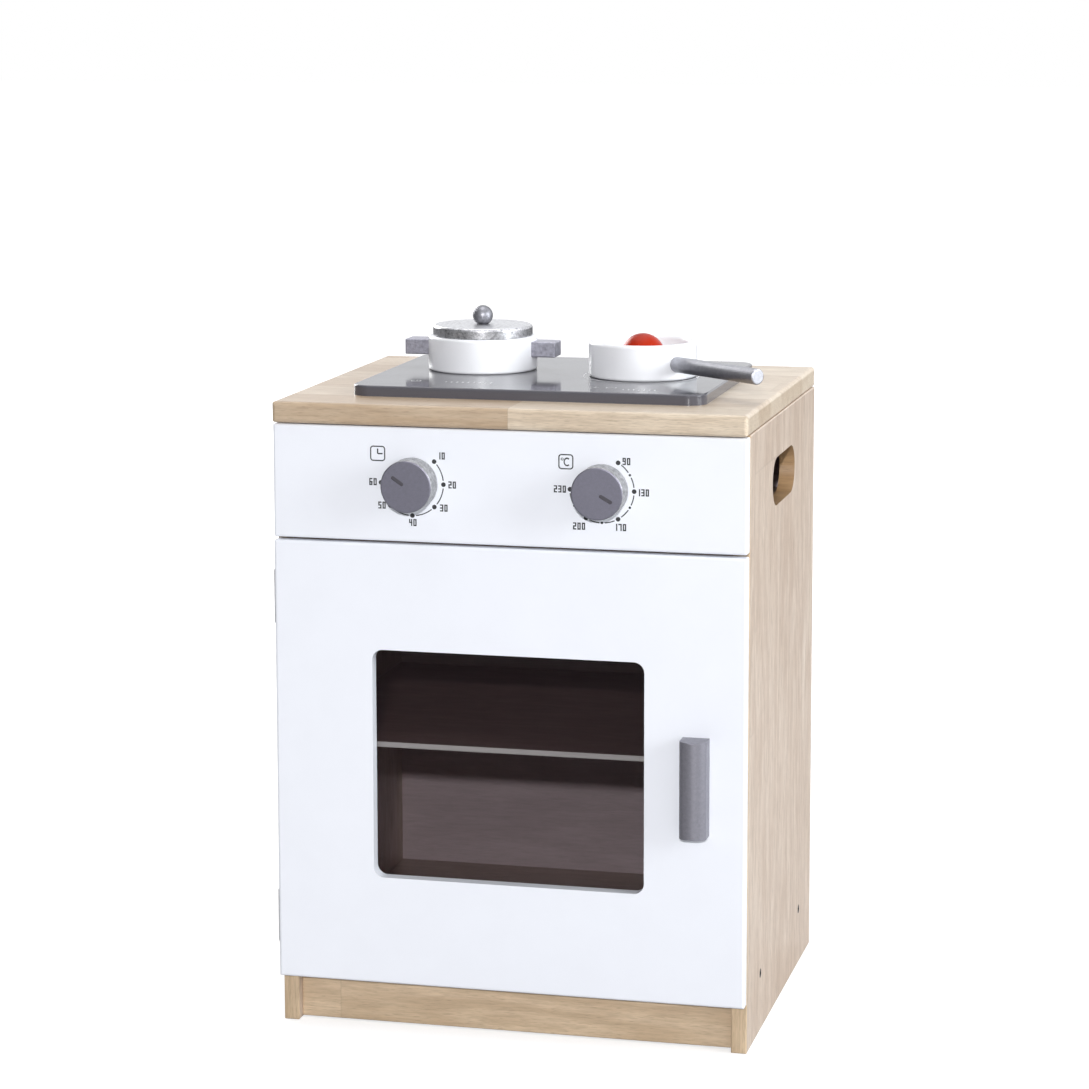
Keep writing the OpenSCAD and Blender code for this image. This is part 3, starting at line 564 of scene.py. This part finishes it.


# Pale side-panel wood whose whitish tone is partly the wood's own colour and partly painted sheen
# from the lamps at a grazing angle.
SIDE_WOOD_PAINTED_SHEEN = WoodFinish(
    "side_wood_painted_sheen", (0.76, 0.635, 0.525), (0.52, 0.39, 0.295), Axis.Z, Axis.Y,
    stave_width=0.11, stave_length=0.9, stave_contrast=0.2, seed=3.0, streak=0.5, flame=0.25,
)
EDGE_WOOD = WoodFinish(
    "edge_wood", (0.68, 0.52, 0.35), (0.48, 0.345, 0.215), Axis.Z, Axis.X,
    stave_width=0.2, stave_length=2.0, stave_contrast=0.2, seed=8.0,
)
# A darker, browner copy of the panels' cut-edge wood: painted shade inside the hand holes.
HOLE_WOOD_PAINTED_SHADE = WoodFinish(
    "hole_wood_painted_shade", (0.50, 0.32, 0.17), (0.33, 0.20, 0.10), Axis.X, Axis.Y,
    stave_width=0.2, stave_length=2.0, stave_contrast=0.2, seed=4.0,
)
BOARD_WOOD = WoodFinish(
    "board_wood", (0.46, 0.34, 0.28), (0.34, 0.24, 0.19), Axis.X, Axis.Y,
    stave_width=0.06, stave_length=0.5, stave_contrast=0.4, seed=5.0,
)
BACK_WOOD = WoodFinish(
    "back_wood", (0.69, 0.565, 0.60), (0.61, 0.495, 0.525), Axis.X, Axis.Z,
    stave_width=0.5, stave_length=40.0, stave_contrast=0.2, seed=6.0, streak=0.25,
)
BACK_OUTSIDE = WoodFinish(
    "back_outside_wood", (0.66, 0.53, 0.41), (0.54, 0.42, 0.31), Axis.Z, Axis.X,
    stave_width=0.5, stave_length=40.0, stave_contrast=0.2, seed=11.0,
)
# A darker copy of the board wood for the shelf: painted shade where the shelf lies in shadow inside
# the oven.
SHELF_WOOD_PAINTED_SHADE = WoodFinish(
    "shelf_wood_painted_shade", (0.34, 0.22, 0.215), (0.25, 0.155, 0.15), Axis.X, Axis.Y,
    stave_width=0.06, stave_length=0.5, stave_contrast=0.3, seed=5.0,
)
# A near-white copy for the shelf's front edge: partly a pale edge, partly painted light where the
# lamps strike it through the window.
SHELF_EDGE_PAINTED_LIGHT = WoodFinish(
    "shelf_edge_painted_light", (0.92, 0.87, 0.86), (0.82, 0.77, 0.76), Axis.X, Axis.Z,
    stave_width=0.5, stave_length=40.0, stave_contrast=0.2, seed=7.0, streak=0.1,
)
PLINTH_WOOD = WoodFinish(
    "plinth_wood", (0.74, 0.575, 0.40), (0.54, 0.395, 0.255), Axis.X, Axis.Z,
    stave_width=0.08, stave_length=0.6, stave_contrast=0.2, seed=9.0,
)
WORKTOP_WOOD = WoodFinish(
    "worktop_wood", (0.74, 0.63, 0.495), (0.45, 0.32, 0.205), Axis.X, Axis.Y,
    stave_width=0.048, stave_length=0.32, stave_contrast=0.68, seed=28.35,
)
DOWEL_WOOD = WoodFinish(
    "dowel_wood", (0.58, 0.48, 0.36), (0.46, 0.35, 0.25), Axis.X, Axis.Y,
    stave_width=0.2, stave_length=2.0, stave_contrast=0.3, seed=2.0,
)
WHITE_PAINT = PaintFinish("white_paint", (0.835, 0.85, 0.905), 0.34, 0.008)
COOKWARE_WHITE = PaintFinish("cookware_white", (0.92, 0.925, 0.955), 0.3, 0.02, 0.12)
EGG_WHITE = PaintFinish("egg_white_paint", (0.85, 0.85, 0.84), 0.3, 0.02, 0.08)
YOLK_RED = PaintFinish("yolk_red_paint", (0.43, 0.024, 0.005), 0.3, 0.06, 0.1, 0.12)
HANDLE_METALLIC = MetallicPaintFinish("handle_metallic", (0.255, 0.25, 0.285), 0.75, 0.42, 0.08)
DOWEL_METALLIC = MetallicPaintFinish(
    "dowel_metallic", (0.42, 0.42, 0.455), 0.9, 0.36, 0.12, painted_rim_shade=0.4
)
GRIP_METALLIC = MetallicPaintFinish("grip_metallic", (0.36, 0.355, 0.415), 0.6, 0.4, 0.35)
# One silver paint for the knobs in two copies: a darker one for the face, painted shade, and a
# lighter one for the side, painted light.
KNOB_FACE_PAINTED_SHADE = MetallicPaintFinish("knob_face_painted_shade", (0.205, 0.20, 0.245), 0.85, 0.42, 0.08)
KNOB_SIDE_PAINTED_LIGHT = MetallicPaintFinish("knob_side_painted_light", (0.345, 0.345, 0.355), 0.6, 0.45, 0.55)
# Dark grey for the knobs' pointer grooves: painted shade in the recess.
GROOVE_PAINTED_SHADE = PaintFinish("groove_painted_shade", (0.075, 0.07, 0.085), 0.5)
LID_METALLIC = MetallicPaintFinish("lid_metallic", (0.60, 0.60, 0.62), 0.9, 0.36, 0.3, painted_rim_shade=0.1)
# A darker copy of the lid's paint for its rim: painted shade, with stronger mottle and more painted
# rim shade.
LID_RIM_PAINTED_SHADE = MetallicPaintFinish("lid_rim_painted_shade", (0.50, 0.50, 0.52), 0.95, 0.3, 0.6, painted_rim_shade=0.5)
BALL_METALLIC = MetallicPaintFinish("ball_metallic", (0.24, 0.24, 0.265), 0.8, 0.46, 0.3, painted_rim_shade=0.9)
HOB_GLOSS = GlossBoardFinish("hob_gloss", (0.085, 0.083, 0.098))
SMOKED_SHEET = SmokedSheetFinish("smoked_sheet", (0.008, 0.003, 0.004), 0.27)
ZINC_STEEL = SteelFinish("zinc_steel", (0.72, 0.72, 0.74))
DARK_STEEL = SteelFinish("dark_steel", (0.05, 0.045, 0.045), 0.7, 0.5)
BRIGHT_STEEL = SteelFinish("bright_steel", (0.72, 0.72, 0.74), 1.0, 0.18)
BLACK_INK = InkFinish("black_ink", (0.010, 0.010, 0.013))
WHITE_INK = InkFinish("white_ink", (0.80, 0.80, 0.82))


class Library:
    """Builds each finish once and hands out its material."""

    def __init__(self) -> None:
        """Starts empty."""
        self.made: dict[str, bpy.types.Material] = {}

    def get(self, finish: Finish) -> bpy.types.Material:
        """Gives a finish's material.

        Args:
            finish: The finish.

        Returns:
            Its material, made at the first call.
        """
        if finish.name not in self.made:
            self.made[finish.name] = finish.build()
        return self.made[finish.name]

    def coat(self, obj: bpy.types.Object, finish: Finish) -> None:
        """Gives an object one finish all over.

        Args:
            obj: The object.
            finish: The finish.
        """
        obj.data.materials.clear()
        obj.data.materials.append(self.get(finish))
        for polygon in obj.data.polygons:
            polygon.material_index = 0

    def coat_within(
        self, obj: bpy.types.Object, finish: Finish, inside: Callable[[Vector], bool]
    ) -> None:
        """Gives part of an object's faces a second finish.

        Args:
            obj: The object.
            finish: The second finish.
            inside: Says whether a face's middle belongs to that part.
        """
        obj.data.materials.append(self.get(finish))
        slot = len(obj.data.materials) - 1
        for polygon in obj.data.polygons:
            if inside(obj.matrix_world @ polygon.center):
                polygon.material_index = slot


@dataclass
class Print:
    """Flat printed marks, collected as polygons in millimetres on one plane."""

    plane: Plane
    level: float
    origin: Point
    lift: float = 0.00006
    shapes: list[list[Point]] = field(default_factory=list)

    LETTERS = {
        "0": "111 101 101 101 111",
        "1": "1 1 1 1 1",
        "2": "111 001 111 100 111",
        "3": "111 001 111 001 111",
        "4": "101 101 111 001 001",
        "5": "111 100 111 001 111",
        "6": "111 100 111 101 111",
        "7": "111 001 001 001 001",
        "9": "111 101 111 001 111",
    }

    def bar(self, u: float, v: float, width: float, height: float) -> None:
        """Adds a rectangle about a point.

        Args:
            u: Middle across.
            v: Middle up.
            width: Width.
            height: Height.
        """
        a, b = width / 2, height / 2
        self.shapes.append([(u - a, v - b), (u + a, v - b), (u + a, v + b), (u - a, v + b)])

    def disc(self, u: float, v: float, radius: float, sides: int = 28) -> None:
        """Adds a dot.

        Args:
            u: Middle across.
            v: Middle up.
            radius: Radius.
            sides: Number of sides.
        """
        turns = [2 * math.pi * i / sides for i in range(sides)]
        self.shapes.append([(u + radius * math.cos(t), v + radius * math.sin(t)) for t in turns])

    def arc(
        self,
        u: float,
        v: float,
        radius: float,
        line: float,
        start: float,
        end: float,
        squash: float = 1.0,
    ) -> None:
        """Adds a curved line.

        Args:
            u: Middle across.
            v: Middle up.
            radius: Radius of the line's middle.
            line: Width of the line.
            start: First angle in degrees.
            end: Last angle in degrees.
            squash: Width over height of the curve.
        """
        steps = max(2, round(abs(end - start) / 4))
        for i in range(steps):
            corners = []
            for share, r in ((i, -1), (i, 1), (i + 1, 1), (i + 1, -1)):
                t = math.radians(start + (end - start) * share / steps)
                reach = radius + r * line / 2
                corners.append((u + squash * reach * math.cos(t), v + reach * math.sin(t)))
            self.shapes.append(corners)

    def frame(
        self, u: float, v: float, width: float, height: float, corner: float, line: float
    ) -> None:
        """Adds the outline of a rectangle with round corners.

        Args:
            u: Middle across.
            v: Middle up.
            width: Width.
            height: Height.
            corner: Corner radius.
            line: Width of the line.
        """
        a, b = width / 2 - corner, height / 2 - corner
        for sx, sy, start in ((1, 1, 0), (-1, 1, 90), (-1, -1, 180), (1, -1, 270)):
            self.arc(u + sx * a, v + sy * b, corner, line, start, start + 90)
        for side in (-1, 1):
            self.bar(u, v + side * height / 2, 2 * a, line)
            self.bar(u + side * width / 2, v, line, 2 * b)

    def number(
        self, text: str, u: float, v: float, height: float = 5.3, line: float = 0.95
    ) -> None:
        """Adds a number in narrow square figures.

        Args:
            text: The figures.
            u: Middle across.
            v: Middle up.
            height: Height of the figures.
            line: Width of the strokes.
        """
        gap, wide = 0.8, 2.5
        widths = [line if c == "1" else wide for c in text]
        left = u - (sum(widths) + gap * (len(text) - 1)) / 2
        rows = [line, (height - 3 * line) / 2, line, (height - 3 * line) / 2, line]
        for char, width in zip(text, widths):
            columns = [line] if char == "1" else [line, wide - 2 * line, line]
            top = v + height / 2
            for cells, row in zip(self.LETTERS[char].split(), rows):
                x = left
                for cell, column in zip(cells, columns):
                    if cell == "1":
                        self.bar(x + column / 2, top - row / 2, column, row)
                    x += column
                top -= row
            left += width + gap

    def build(self, name: str, body: str, finish: Finish, library: Library) -> bpy.types.Object:
        """Turns the marks into one thin piece that rides on a body.

        Args:
            name: The piece's name.
            body: The body that carries it.
            finish: Its ink.
            library: Where its material comes from.

        Returns:
            The piece.
        """
        mesh = bpy.data.meshes.new(name)
        made = bmesh.new()
        for shape in self.shapes:
            corners = []
            for u, v in shape:
                a, b = self.origin[0] + u / 1000, self.origin[1] + v / 1000
                if self.plane is Plane.FRONT:
                    corners.append(made.verts.new((a, self.level - self.lift, b)))
                else:
                    corners.append(made.verts.new((a, b, self.level + self.lift)))
            made.faces.new(corners)
        bmesh.ops.remove_doubles(made, verts=made.verts, dist=0.000001)
        wanted = Vector((0, -1, 0)) if self.plane is Plane.FRONT else Vector((0, 0, 1))
        made.normal_update()
        bmesh.ops.reverse_faces(made, faces=[f for f in made.faces if f.normal.dot(wanted) < 0])
        made.to_mesh(mesh)
        made.free()
        obj = bpy.data.objects.new(name, mesh)
        bpy.context.scene.collection.objects.link(obj)
        library.coat(obj, finish)
        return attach(obj, body)


@dataclass
class SubAssembly:
    """The nodes of one moving group with their finishes."""

    body: str
    finishes: dict[str, Finish]

    def dress(self, library: Library) -> None:
        """Coats every node.

        Args:
            library: Where the materials come from.
        """
        for name, finish in self.finishes.items():
            library.coat(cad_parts[name], finish)
        LOG.info("%s: %d nodes coated", self.body, len(self.finishes))


@dataclass
class Dial(SubAssembly):
    """A turning dial with the scale printed round it on the control panel."""

    knob: str = ""
    symbol_at: Point = (0.0, 0.0)
    numbers: tuple[tuple[str, float, float], ...] = ()
    big_dots: tuple[float, ...] = ()
    small_dots: tuple[float, ...] = ()
    ring_radius: float = 24.0
    ring_line: float = 0.85
    big_dot: float = 1.75
    small_dot: float = 0.95
    dot_clearance: float = 1.1
    rim: float = 0.003
    groove: float = 0.002

    def symbol(self, marks: Print) -> None:
        """Adds the dial's symbol.

        Args:
            marks: The print that takes it.
        """

    def dress(self, library: Library) -> None:
        """Coats the dial and prints its scale.

        Args:
            library: Where the materials come from.
        """
        super().dress(library)
        low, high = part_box(self.knob)
        middle = (low + high) / 2
        reach = (high.x - low.x) / 2 - self.rim
        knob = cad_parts[self.knob]

        def on_rim(at: Vector) -> bool:
            """Says whether a place lies in the knob's outer ring."""
            return math.hypot(at.x - middle.x, at.z - middle.z) > reach

        # The knob's side gets the lighter copy of its paint, painted light where it catches the
        # lamps; the face keeps the darker copy, painted shade.
        library.coat_within(knob, KNOB_SIDE_PAINTED_LIGHT, lambda at: on_rim(at) and at.y > low.y + SKIN / 2)
        # The floor and walls of the pointer groove get dark grey: painted shade in the recess.
        library.coat_within(
            knob, GROOVE_PAINTED_SHADE, lambda at: not on_rim(at) and SKIN / 4 < at.y - low.y < self.groove
        )
        panel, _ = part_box("control_panel")
        marks = Print(Plane.FRONT, panel.y, (middle.x, middle.z))
        stops = [(angle, self.big_dot) for angle in self.big_dots]
        stops += [(angle, self.small_dot) for angle in self.small_dots]
        stops.sort(reverse=True)
        for angle, radius in stops:
            t = math.radians(angle)
            marks.disc(self.ring_radius * math.cos(t), self.ring_radius * math.sin(t), radius)
        for (first, r1), (second, r2) in zip(stops, stops[1:]):
            start = first - math.degrees((r1 + self.dot_clearance) / self.ring_radius)
            end = second + math.degrees((r2 + self.dot_clearance) / self.ring_radius)
            marks.arc(0, 0, self.ring_radius, self.ring_line, start, end)
        for text, u, v in self.numbers:
            marks.number(text, u, v)
        self.symbol(marks)
        marks.build(f"{self.body}_scale", "cabinet", BLACK_INK, library)


@dataclass
class TimerDial(Dial):
    """The timer's dial, whose symbol is a clock."""

    def symbol(self, marks: Print) -> None:
        """Adds the clock.

        Args:
            marks: The print that takes it.
        """
        u, v = self.symbol_at
        marks.frame(u, v, 10.8, 10.6, 2.0, 0.9)
        marks.bar(u, v + 1.7, 1.0, 3.8)
        marks.bar(u + 1.9, v - 0.1, 3.8, 1.0)


@dataclass
class TemperatureDial(Dial):
    """The temperature's dial, whose symbol is a degree sign and a C."""

    def symbol(self, marks: Print) -> None:
        """Adds the degree sign and the C.

        Args:
            marks: The print that takes it.
        """
        u, v = self.symbol_at
        marks.frame(u, v, 10.4, 10.4, 2.0, 0.9)
        marks.arc(u - 2.7, v + 1.9, 0.8, 0.5, 0, 360)
        marks.arc(u + 0.9, v - 0.1, 2.7, 1.1, 48, 312, 0.8)


@dataclass
class Cabinet(SubAssembly):
    """The cabinet with its hob board.

    The marks on the board have their places in millimetres from the middle of its front edge.
    """

    hole_margin: float = 0.02
    hole_above: float = 0.1
    pan_ring: float = 44.5
    pot_ring: float = 36.0
    power_mark: Point = (-94.0, 36.0)
    left_scale: Point = (-70.0, 35.0)
    plus_mark: Point = (48.0, 28.0)
    frame_mark: Point = (60.0, 28.0)
    right_scale: Point = (71.0, 20.0)

    def dress(self, library: Library) -> None:
        """Coats the cabinet and prints the hob's marks.

        Args:
            library: Where the materials come from.
        """
        super().dress(library)
        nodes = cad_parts
        for name in ("side_panel_left", "side_panel_right"):
            low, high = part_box(name)
            # The faces inside the hand hole get the darker copy of the edge wood: painted shade in
            # the recess.
            library.coat_within(
                nodes[name],
                HOLE_WOOD_PAINTED_SHADE,
                lambda at: low.x + SKIN < at.x < high.x - SKIN
                and low.y + self.hole_margin < at.y < high.y - self.hole_margin
                and low.z + self.hole_above < at.z < high.z - 5 * SKIN,
            )
            library.coat_within(nodes[name], EDGE_WOOD, lambda at: at.y < low.y + SKIN)
        low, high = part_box("back_panel")
        library.coat_within(nodes["back_panel"], BACK_OUTSIDE, lambda at: at.y > high.y - SKIN)
        # The shelf's front edge gets the near-white copy: partly a pale edge, partly painted light.
        low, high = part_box("shelf")
        library.coat_within(nodes["shelf"], SHELF_EDGE_PAINTED_LIGHT, lambda at: at.y < low.y + SKIN)
        self.print_hob().build("hob_print", "cabinet", WHITE_INK, library)

    def print_hob(self) -> Print:
        """Draws the marks on the hob board.

        Returns:
            The marks.
        """
        low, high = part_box("hob_plate")
        middle = (low.x + high.x) / 2
        marks = Print(Plane.TOP, high.z, (middle, low.y))

        def under(near: Vector, far: Vector) -> Point:
            """Gives the middle of a piece that stands on the board.

            Args:
                near: The lowest corner of the piece's box.
                far: The highest corner of the piece's box.

            Returns:
                Its place on the board.
            """
            return 1000 * ((near.x + far.x) / 2 - middle), 1000 * ((near.y + far.y) / 2 - low.y)

        u, v = under(*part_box("pan_body"))
        marks.arc(u - 1, v - 1, self.pan_ring, 1.0, 0, 360)
        marks.arc(*under(*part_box("pot_body")), self.pot_ring, 0.9, 0, 360)
        u, v = self.power_mark
        marks.arc(u, v, 3.6, 0.7, 120, 420)
        marks.bar(u, v + 3, 0.7, 4.0)
        u, v = self.left_scale
        for i in range(9):
            marks.bar(u + 4.4 * i, v, 1.0, 3.2 + 0.5 * i)
        marks.bar(*self.plus_mark, 5.0, 0.8)
        marks.bar(*self.plus_mark, 0.8, 5.0)
        marks.frame(*self.frame_mark, 7.0, 6.0, 1.5, 0.7)
        u, v = self.right_scale
        for i in range(7):
            marks.bar(u + 4.0 * i, v, 1.0, 2.8 + 0.5 * i)
        return marks


@dataclass
class Lid(SubAssembly):
    """The pot's lid, whose turned rim gets a darker, more mottled copy of the top's paint as
    painted shade.
    """

    rim: float = 0.0012

    def dress(self, library: Library) -> None:
        """Coats the lid and its ball, then the rim.

        Args:
            library: Where the materials come from.
        """
        super().dress(library)
        low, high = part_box("pot_lid")
        middle = (low + high) / 2
        reach = (high.x - low.x) / 2 - self.rim
        # The rim's faces get the darker copy of the lid's paint: painted shade on the lid's side.
        library.coat_within(
            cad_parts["pot_lid"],
            LID_RIM_PAINTED_SHADE,
            lambda at: math.hypot(at.x - middle.x, at.y - middle.y) > reach,
        )


@dataclass(frozen=True)
class Lamp:
    """One soft rectangular light that faces the object."""

    name: str
    position: tuple[float, float, float]
    size: float
    power: float
    color: Color = (1.0, 1.0, 1.0)
    target: tuple[float, float, float] = (0.0, 0.0, 0.25)

    def place(self) -> None:
        """Adds the light to the scene."""
        data = bpy.data.lights.new(self.name, "AREA")
        data.shape = "SQUARE"
        data.size = self.size
        data.energy = self.power
        data.color = self.color
        obj = bpy.data.objects.new(self.name, data)
        bpy.context.scene.collection.objects.link(obj)
        obj.location = self.position
        aim = Vector(self.target) - Vector(self.position)
        obj.rotation_mode = "QUATERNION"
        obj.rotation_quaternion = aim.to_track_quat("-Z", "Y")


@dataclass
class Studio:
    """Pale floor, white surroundings, lamps, and light that grows from left to right."""

    lamps: tuple[Lamp, ...]
    floor_color: Color = (0.50, 0.50, 0.505)
    floor_glow: tuple[float, float] = (0.62, 0.95)
    ambient: Color = (0.26, 0.265, 0.275)
    slant: float = 0.75
    shine_left: float = 0.1
    shine_right: float = 1.15
    shine_back: float = 0.5
    shine_up: float = 0.4

    def world(self) -> None:
        """Makes the surroundings: white to the camera, graded in their light and reflections."""
        world = bpy.data.worlds.new("studio_world")
        bpy.context.scene.world = world
        world.use_nodes = True
        t = NodeTree(world.node_tree)
        direction = t.node("ShaderNodeTexCoord").outputs["Generated"]
        x, y, z = t.node("ShaderNodeSeparateXYZ", {0: direction}).outputs
        open_side = t.remap(x, -0.75, -0.35, 0.0, 1.0)
        back = t.math("MULTIPLY", t.remap(y, 0.0, 0.7, 0.0, self.shine_back), open_side)
        sides = t.remap(x, -1.0, 0.8, self.shine_left, self.shine_right)
        shine = t.math("ADD", t.math("ADD", sides, back), t.remap(z, 0.3, 0.9, 0.0, self.shine_up))
        sky = t.remap(x, -0.9, 0.9, 1.0 - self.slant, 1.0 + self.slant)
        path = t.node("ShaderNodeLightPath").outputs
        soft = t.node("ShaderNodeBackground", {"Color": self.ambient, "Strength": sky})
        shiny = t.node("ShaderNodeBackground", {"Color": (0.97, 0.98, 1.0), "Strength": shine})
        white = t.node("ShaderNodeBackground", {"Color": (1.0, 1.0, 1.0), "Strength": 1.0})
        seen = t.math("MAXIMUM", path["Is Camera Ray"], path["Is Transmission Ray"])
        glossy = path["Is Glossy Ray"]
        first = t.node("ShaderNodeMixShader", {0: glossy, 1: soft.outputs[0], 2: shiny.outputs[0]})
        second = t.node("ShaderNodeMixShader", {0: seen, 1: first.outputs[0], 2: white.outputs[0]})
        t.node("ShaderNodeOutputWorld", {0: second.outputs[0]})

    def floor(self) -> None:
        """Makes the wide pale floor."""
        mesh = bpy.data.meshes.new("studio_floor")
        made = bmesh.new()
        bmesh.ops.create_grid(made, x_segments=1, y_segments=1, size=20.0)
        made.to_mesh(mesh)
        made.free()
        obj = bpy.data.objects.new("studio_floor", mesh)
        bpy.context.scene.collection.objects.link(obj)
        g = Graph("floor_paper")
        place = g.place()
        grain = g.noise(place["all"], 40.0, 2.0)
        lighter = tuple(min(1.0, c + 0.01) for c in self.floor_color)
        length = g.node("ShaderNodeVectorMath", {0: place["all"]}, operation="LENGTH")
        away = length.outputs["Value"]
        path = g.node("ShaderNodeLightPath").outputs
        seen = g.math("MAXIMUM", path["Is Camera Ray"], path["Is Transmission Ray"])
        near, far = self.floor_glow
        mesh.materials.append(
            g.surface(
                Base_Color=g.mix(grain, self.floor_color, lighter),
                Roughness=0.9,
                Specular_IOR_Level=0.0,
                Emission_Color=(1.0, 1.0, 1.0, 1.0),
                Emission_Strength=g.math("MULTIPLY", seen, g.remap(away, 0.5, 3.0, near, far)),
            )
        )

    def build(self) -> None:
        """Sets up floor, surroundings, lights and the plain colour transform."""
        self.world()
        self.floor()
        for lamp in self.lamps:
            lamp.place()
        bpy.context.scene.view_settings.view_transform = "Standard"


@dataclass(frozen=True)
class Viewpoint:
    """The camera at the photograph's place."""

    position: tuple[float, float, float] = (0.595263, -2.440992, 0.797596)
    yaw: float = 13.788
    pitch: float = 8.0
    roll: float = -0.106
    lens: float = 108.229
    shift: float = -0.10503

    def build(self) -> None:
        """Adds the camera and makes it the scene's."""
        data = bpy.data.cameras.new("photo_camera")
        data.sensor_width = 36.0
        data.lens = self.lens
        data.shift_y = self.shift
        data.clip_start, data.clip_end = 0.05, 100.0
        data.dof.use_dof = False
        obj = bpy.data.objects.new("photo_camera", data)
        bpy.context.scene.collection.objects.link(obj)
        yaw, pitch = math.radians(self.yaw), math.radians(self.pitch)
        ahead = Vector(
            (-math.sin(yaw) * math.cos(pitch), math.cos(yaw) * math.cos(pitch), -math.sin(pitch))
        )
        obj.location = self.position
        obj.rotation_mode = "QUATERNION"
        turn = Quaternion((0.0, 0.0, 1.0), math.radians(self.roll))
        obj.rotation_quaternion = ahead.to_track_quat("-Z", "Y") @ turn
        bpy.context.scene.camera = obj


def sub_assemblies() -> list[SubAssembly]:
    """Lists the object's groups.

    Returns:
        Every moving group and the cabinet.
    """
    return [
        Cabinet(
            "cabinet",
            {
                "side_panel_left": SIDE_WOOD_PAINTED_SHEEN,
                "side_panel_right": SIDE_WOOD_PAINTED_SHEEN,
                "bottom_panel": BOARD_WOOD,
                "oven_ceiling": BOARD_WOOD,
                "back_panel": BACK_WOOD,
                "plinth": PLINTH_WOOD,
                "shelf": SHELF_WOOD_PAINTED_SHADE,
                "worktop": WORKTOP_WOOD,
                "control_panel": WHITE_PAINT,
                "hob_plate": HOB_GLOSS,
                "worktop_dowels": DOWEL_WOOD,
                "ceiling_dowels": DOWEL_WOOD,
                "control_panel_dowels": DOWEL_WOOD,
                "cabinet_screws": DARK_STEEL,
                "back_panel_screws": ZINC_STEEL,
                "hob_screws": ZINC_STEEL,
                "hinge_frame_leaf_upper": ZINC_STEEL,
                "hinge_frame_leaf_lower": ZINC_STEEL,
                "hinge_pin_upper": ZINC_STEEL,
                "hinge_pin_lower": ZINC_STEEL,
                "hinge_frame_screws": ZINC_STEEL,
                "catch_magnet": BRIGHT_STEEL,
            },
        ),
        SubAssembly(
            "door",
            {
                "door_panel": WHITE_PAINT,
                "window_pane": SMOKED_SHEET,
                "pane_screws": ZINC_STEEL,
                "door_handle": HANDLE_METALLIC,
                "handle_screws": ZINC_STEEL,
                "hinge_door_leaf_upper": ZINC_STEEL,
                "hinge_door_leaf_lower": ZINC_STEEL,
                "hinge_door_screws": ZINC_STEEL,
                "strike_disc": ZINC_STEEL,
            },
        ),
        TimerDial(
            "timer_dial",
            {"timer_knob": KNOB_FACE_PAINTED_SHADE, "timer_spindle": ZINC_STEEL, "timer_washer": ZINC_STEEL},
            knob="timer_knob",
            symbol_at=(-26.4, 21.7),
            numbers=(
                ("10", 23.1, 21.4),
                ("20", 30.7, 0.0),
                ("30", 24.2, -17.5),
                ("40", 0.3, -29.2),
                ("50", -23.4, -17.0),
                ("60", -30.2, 0.4),
            ),
            big_dots=(45.0, 0.0, -45.0, -90.0, -135.0, -180.0),
        ),
        TemperatureDial(
            "temperature_dial",
            {
                "temperature_knob": KNOB_FACE_PAINTED_SHADE,
                "temperature_spindle": ZINC_STEEL,
                "temperature_washer": ZINC_STEEL,
            },
            knob="temperature_knob",
            symbol_at=(-27.1, 20.3),
            numbers=(
                ("90", 18.2, 22.0),
                ("130", 31.3, -0.6),
                ("170", 14.3, -26.8),
                ("200", -17.2, -27.0),
                ("230", -31.6, 0.0),
            ),
            big_dots=(60.0, 0.0, -60.0, -120.0, -180.0),
            small_dots=(30.0, -30.0, -90.0, -150.0),
        ),
        SubAssembly(
            "pot",
            {
                "pot_body": COOKWARE_WHITE,
                "pot_grip_left": GRIP_METALLIC,
                "pot_grip_right": GRIP_METALLIC,
            },
        ),
        Lid("lid", {"pot_lid": LID_METALLIC, "lid_knob": BALL_METALLIC}),
        SubAssembly("pan", {"pan_body": COOKWARE_WHITE, "pan_handle": DOWEL_METALLIC}),
        SubAssembly("egg", {"egg_white": EGG_WHITE, "egg_yolk": YOLK_RED}),
    ]


def main() -> None:
    """Builds the whole scene."""
    logging.basicConfig(level=logging.INFO, format="%(name)s: %(message)s")
    library = Library()
    for group in sub_assemblies():
        group.dress(library)
    Studio(
        lamps=(
            Lamp("key", (0.989, -4.79, 1.795), 0.12, 150.0),
            Lamp("side", (3.0, -0.6, 1.2), 1.4, 80.0, (0.94, 0.98, 1.0)),
            Lamp("top", (-0.2, 0.3, 3.0), 2.0, 27.0),
            Lamp("rear_left", (-2.4, 2.2, 1.5), 1.8, 80.0),
        )
    ).build()
    Viewpoint().build()


if __name__ == "__main__":
    main()
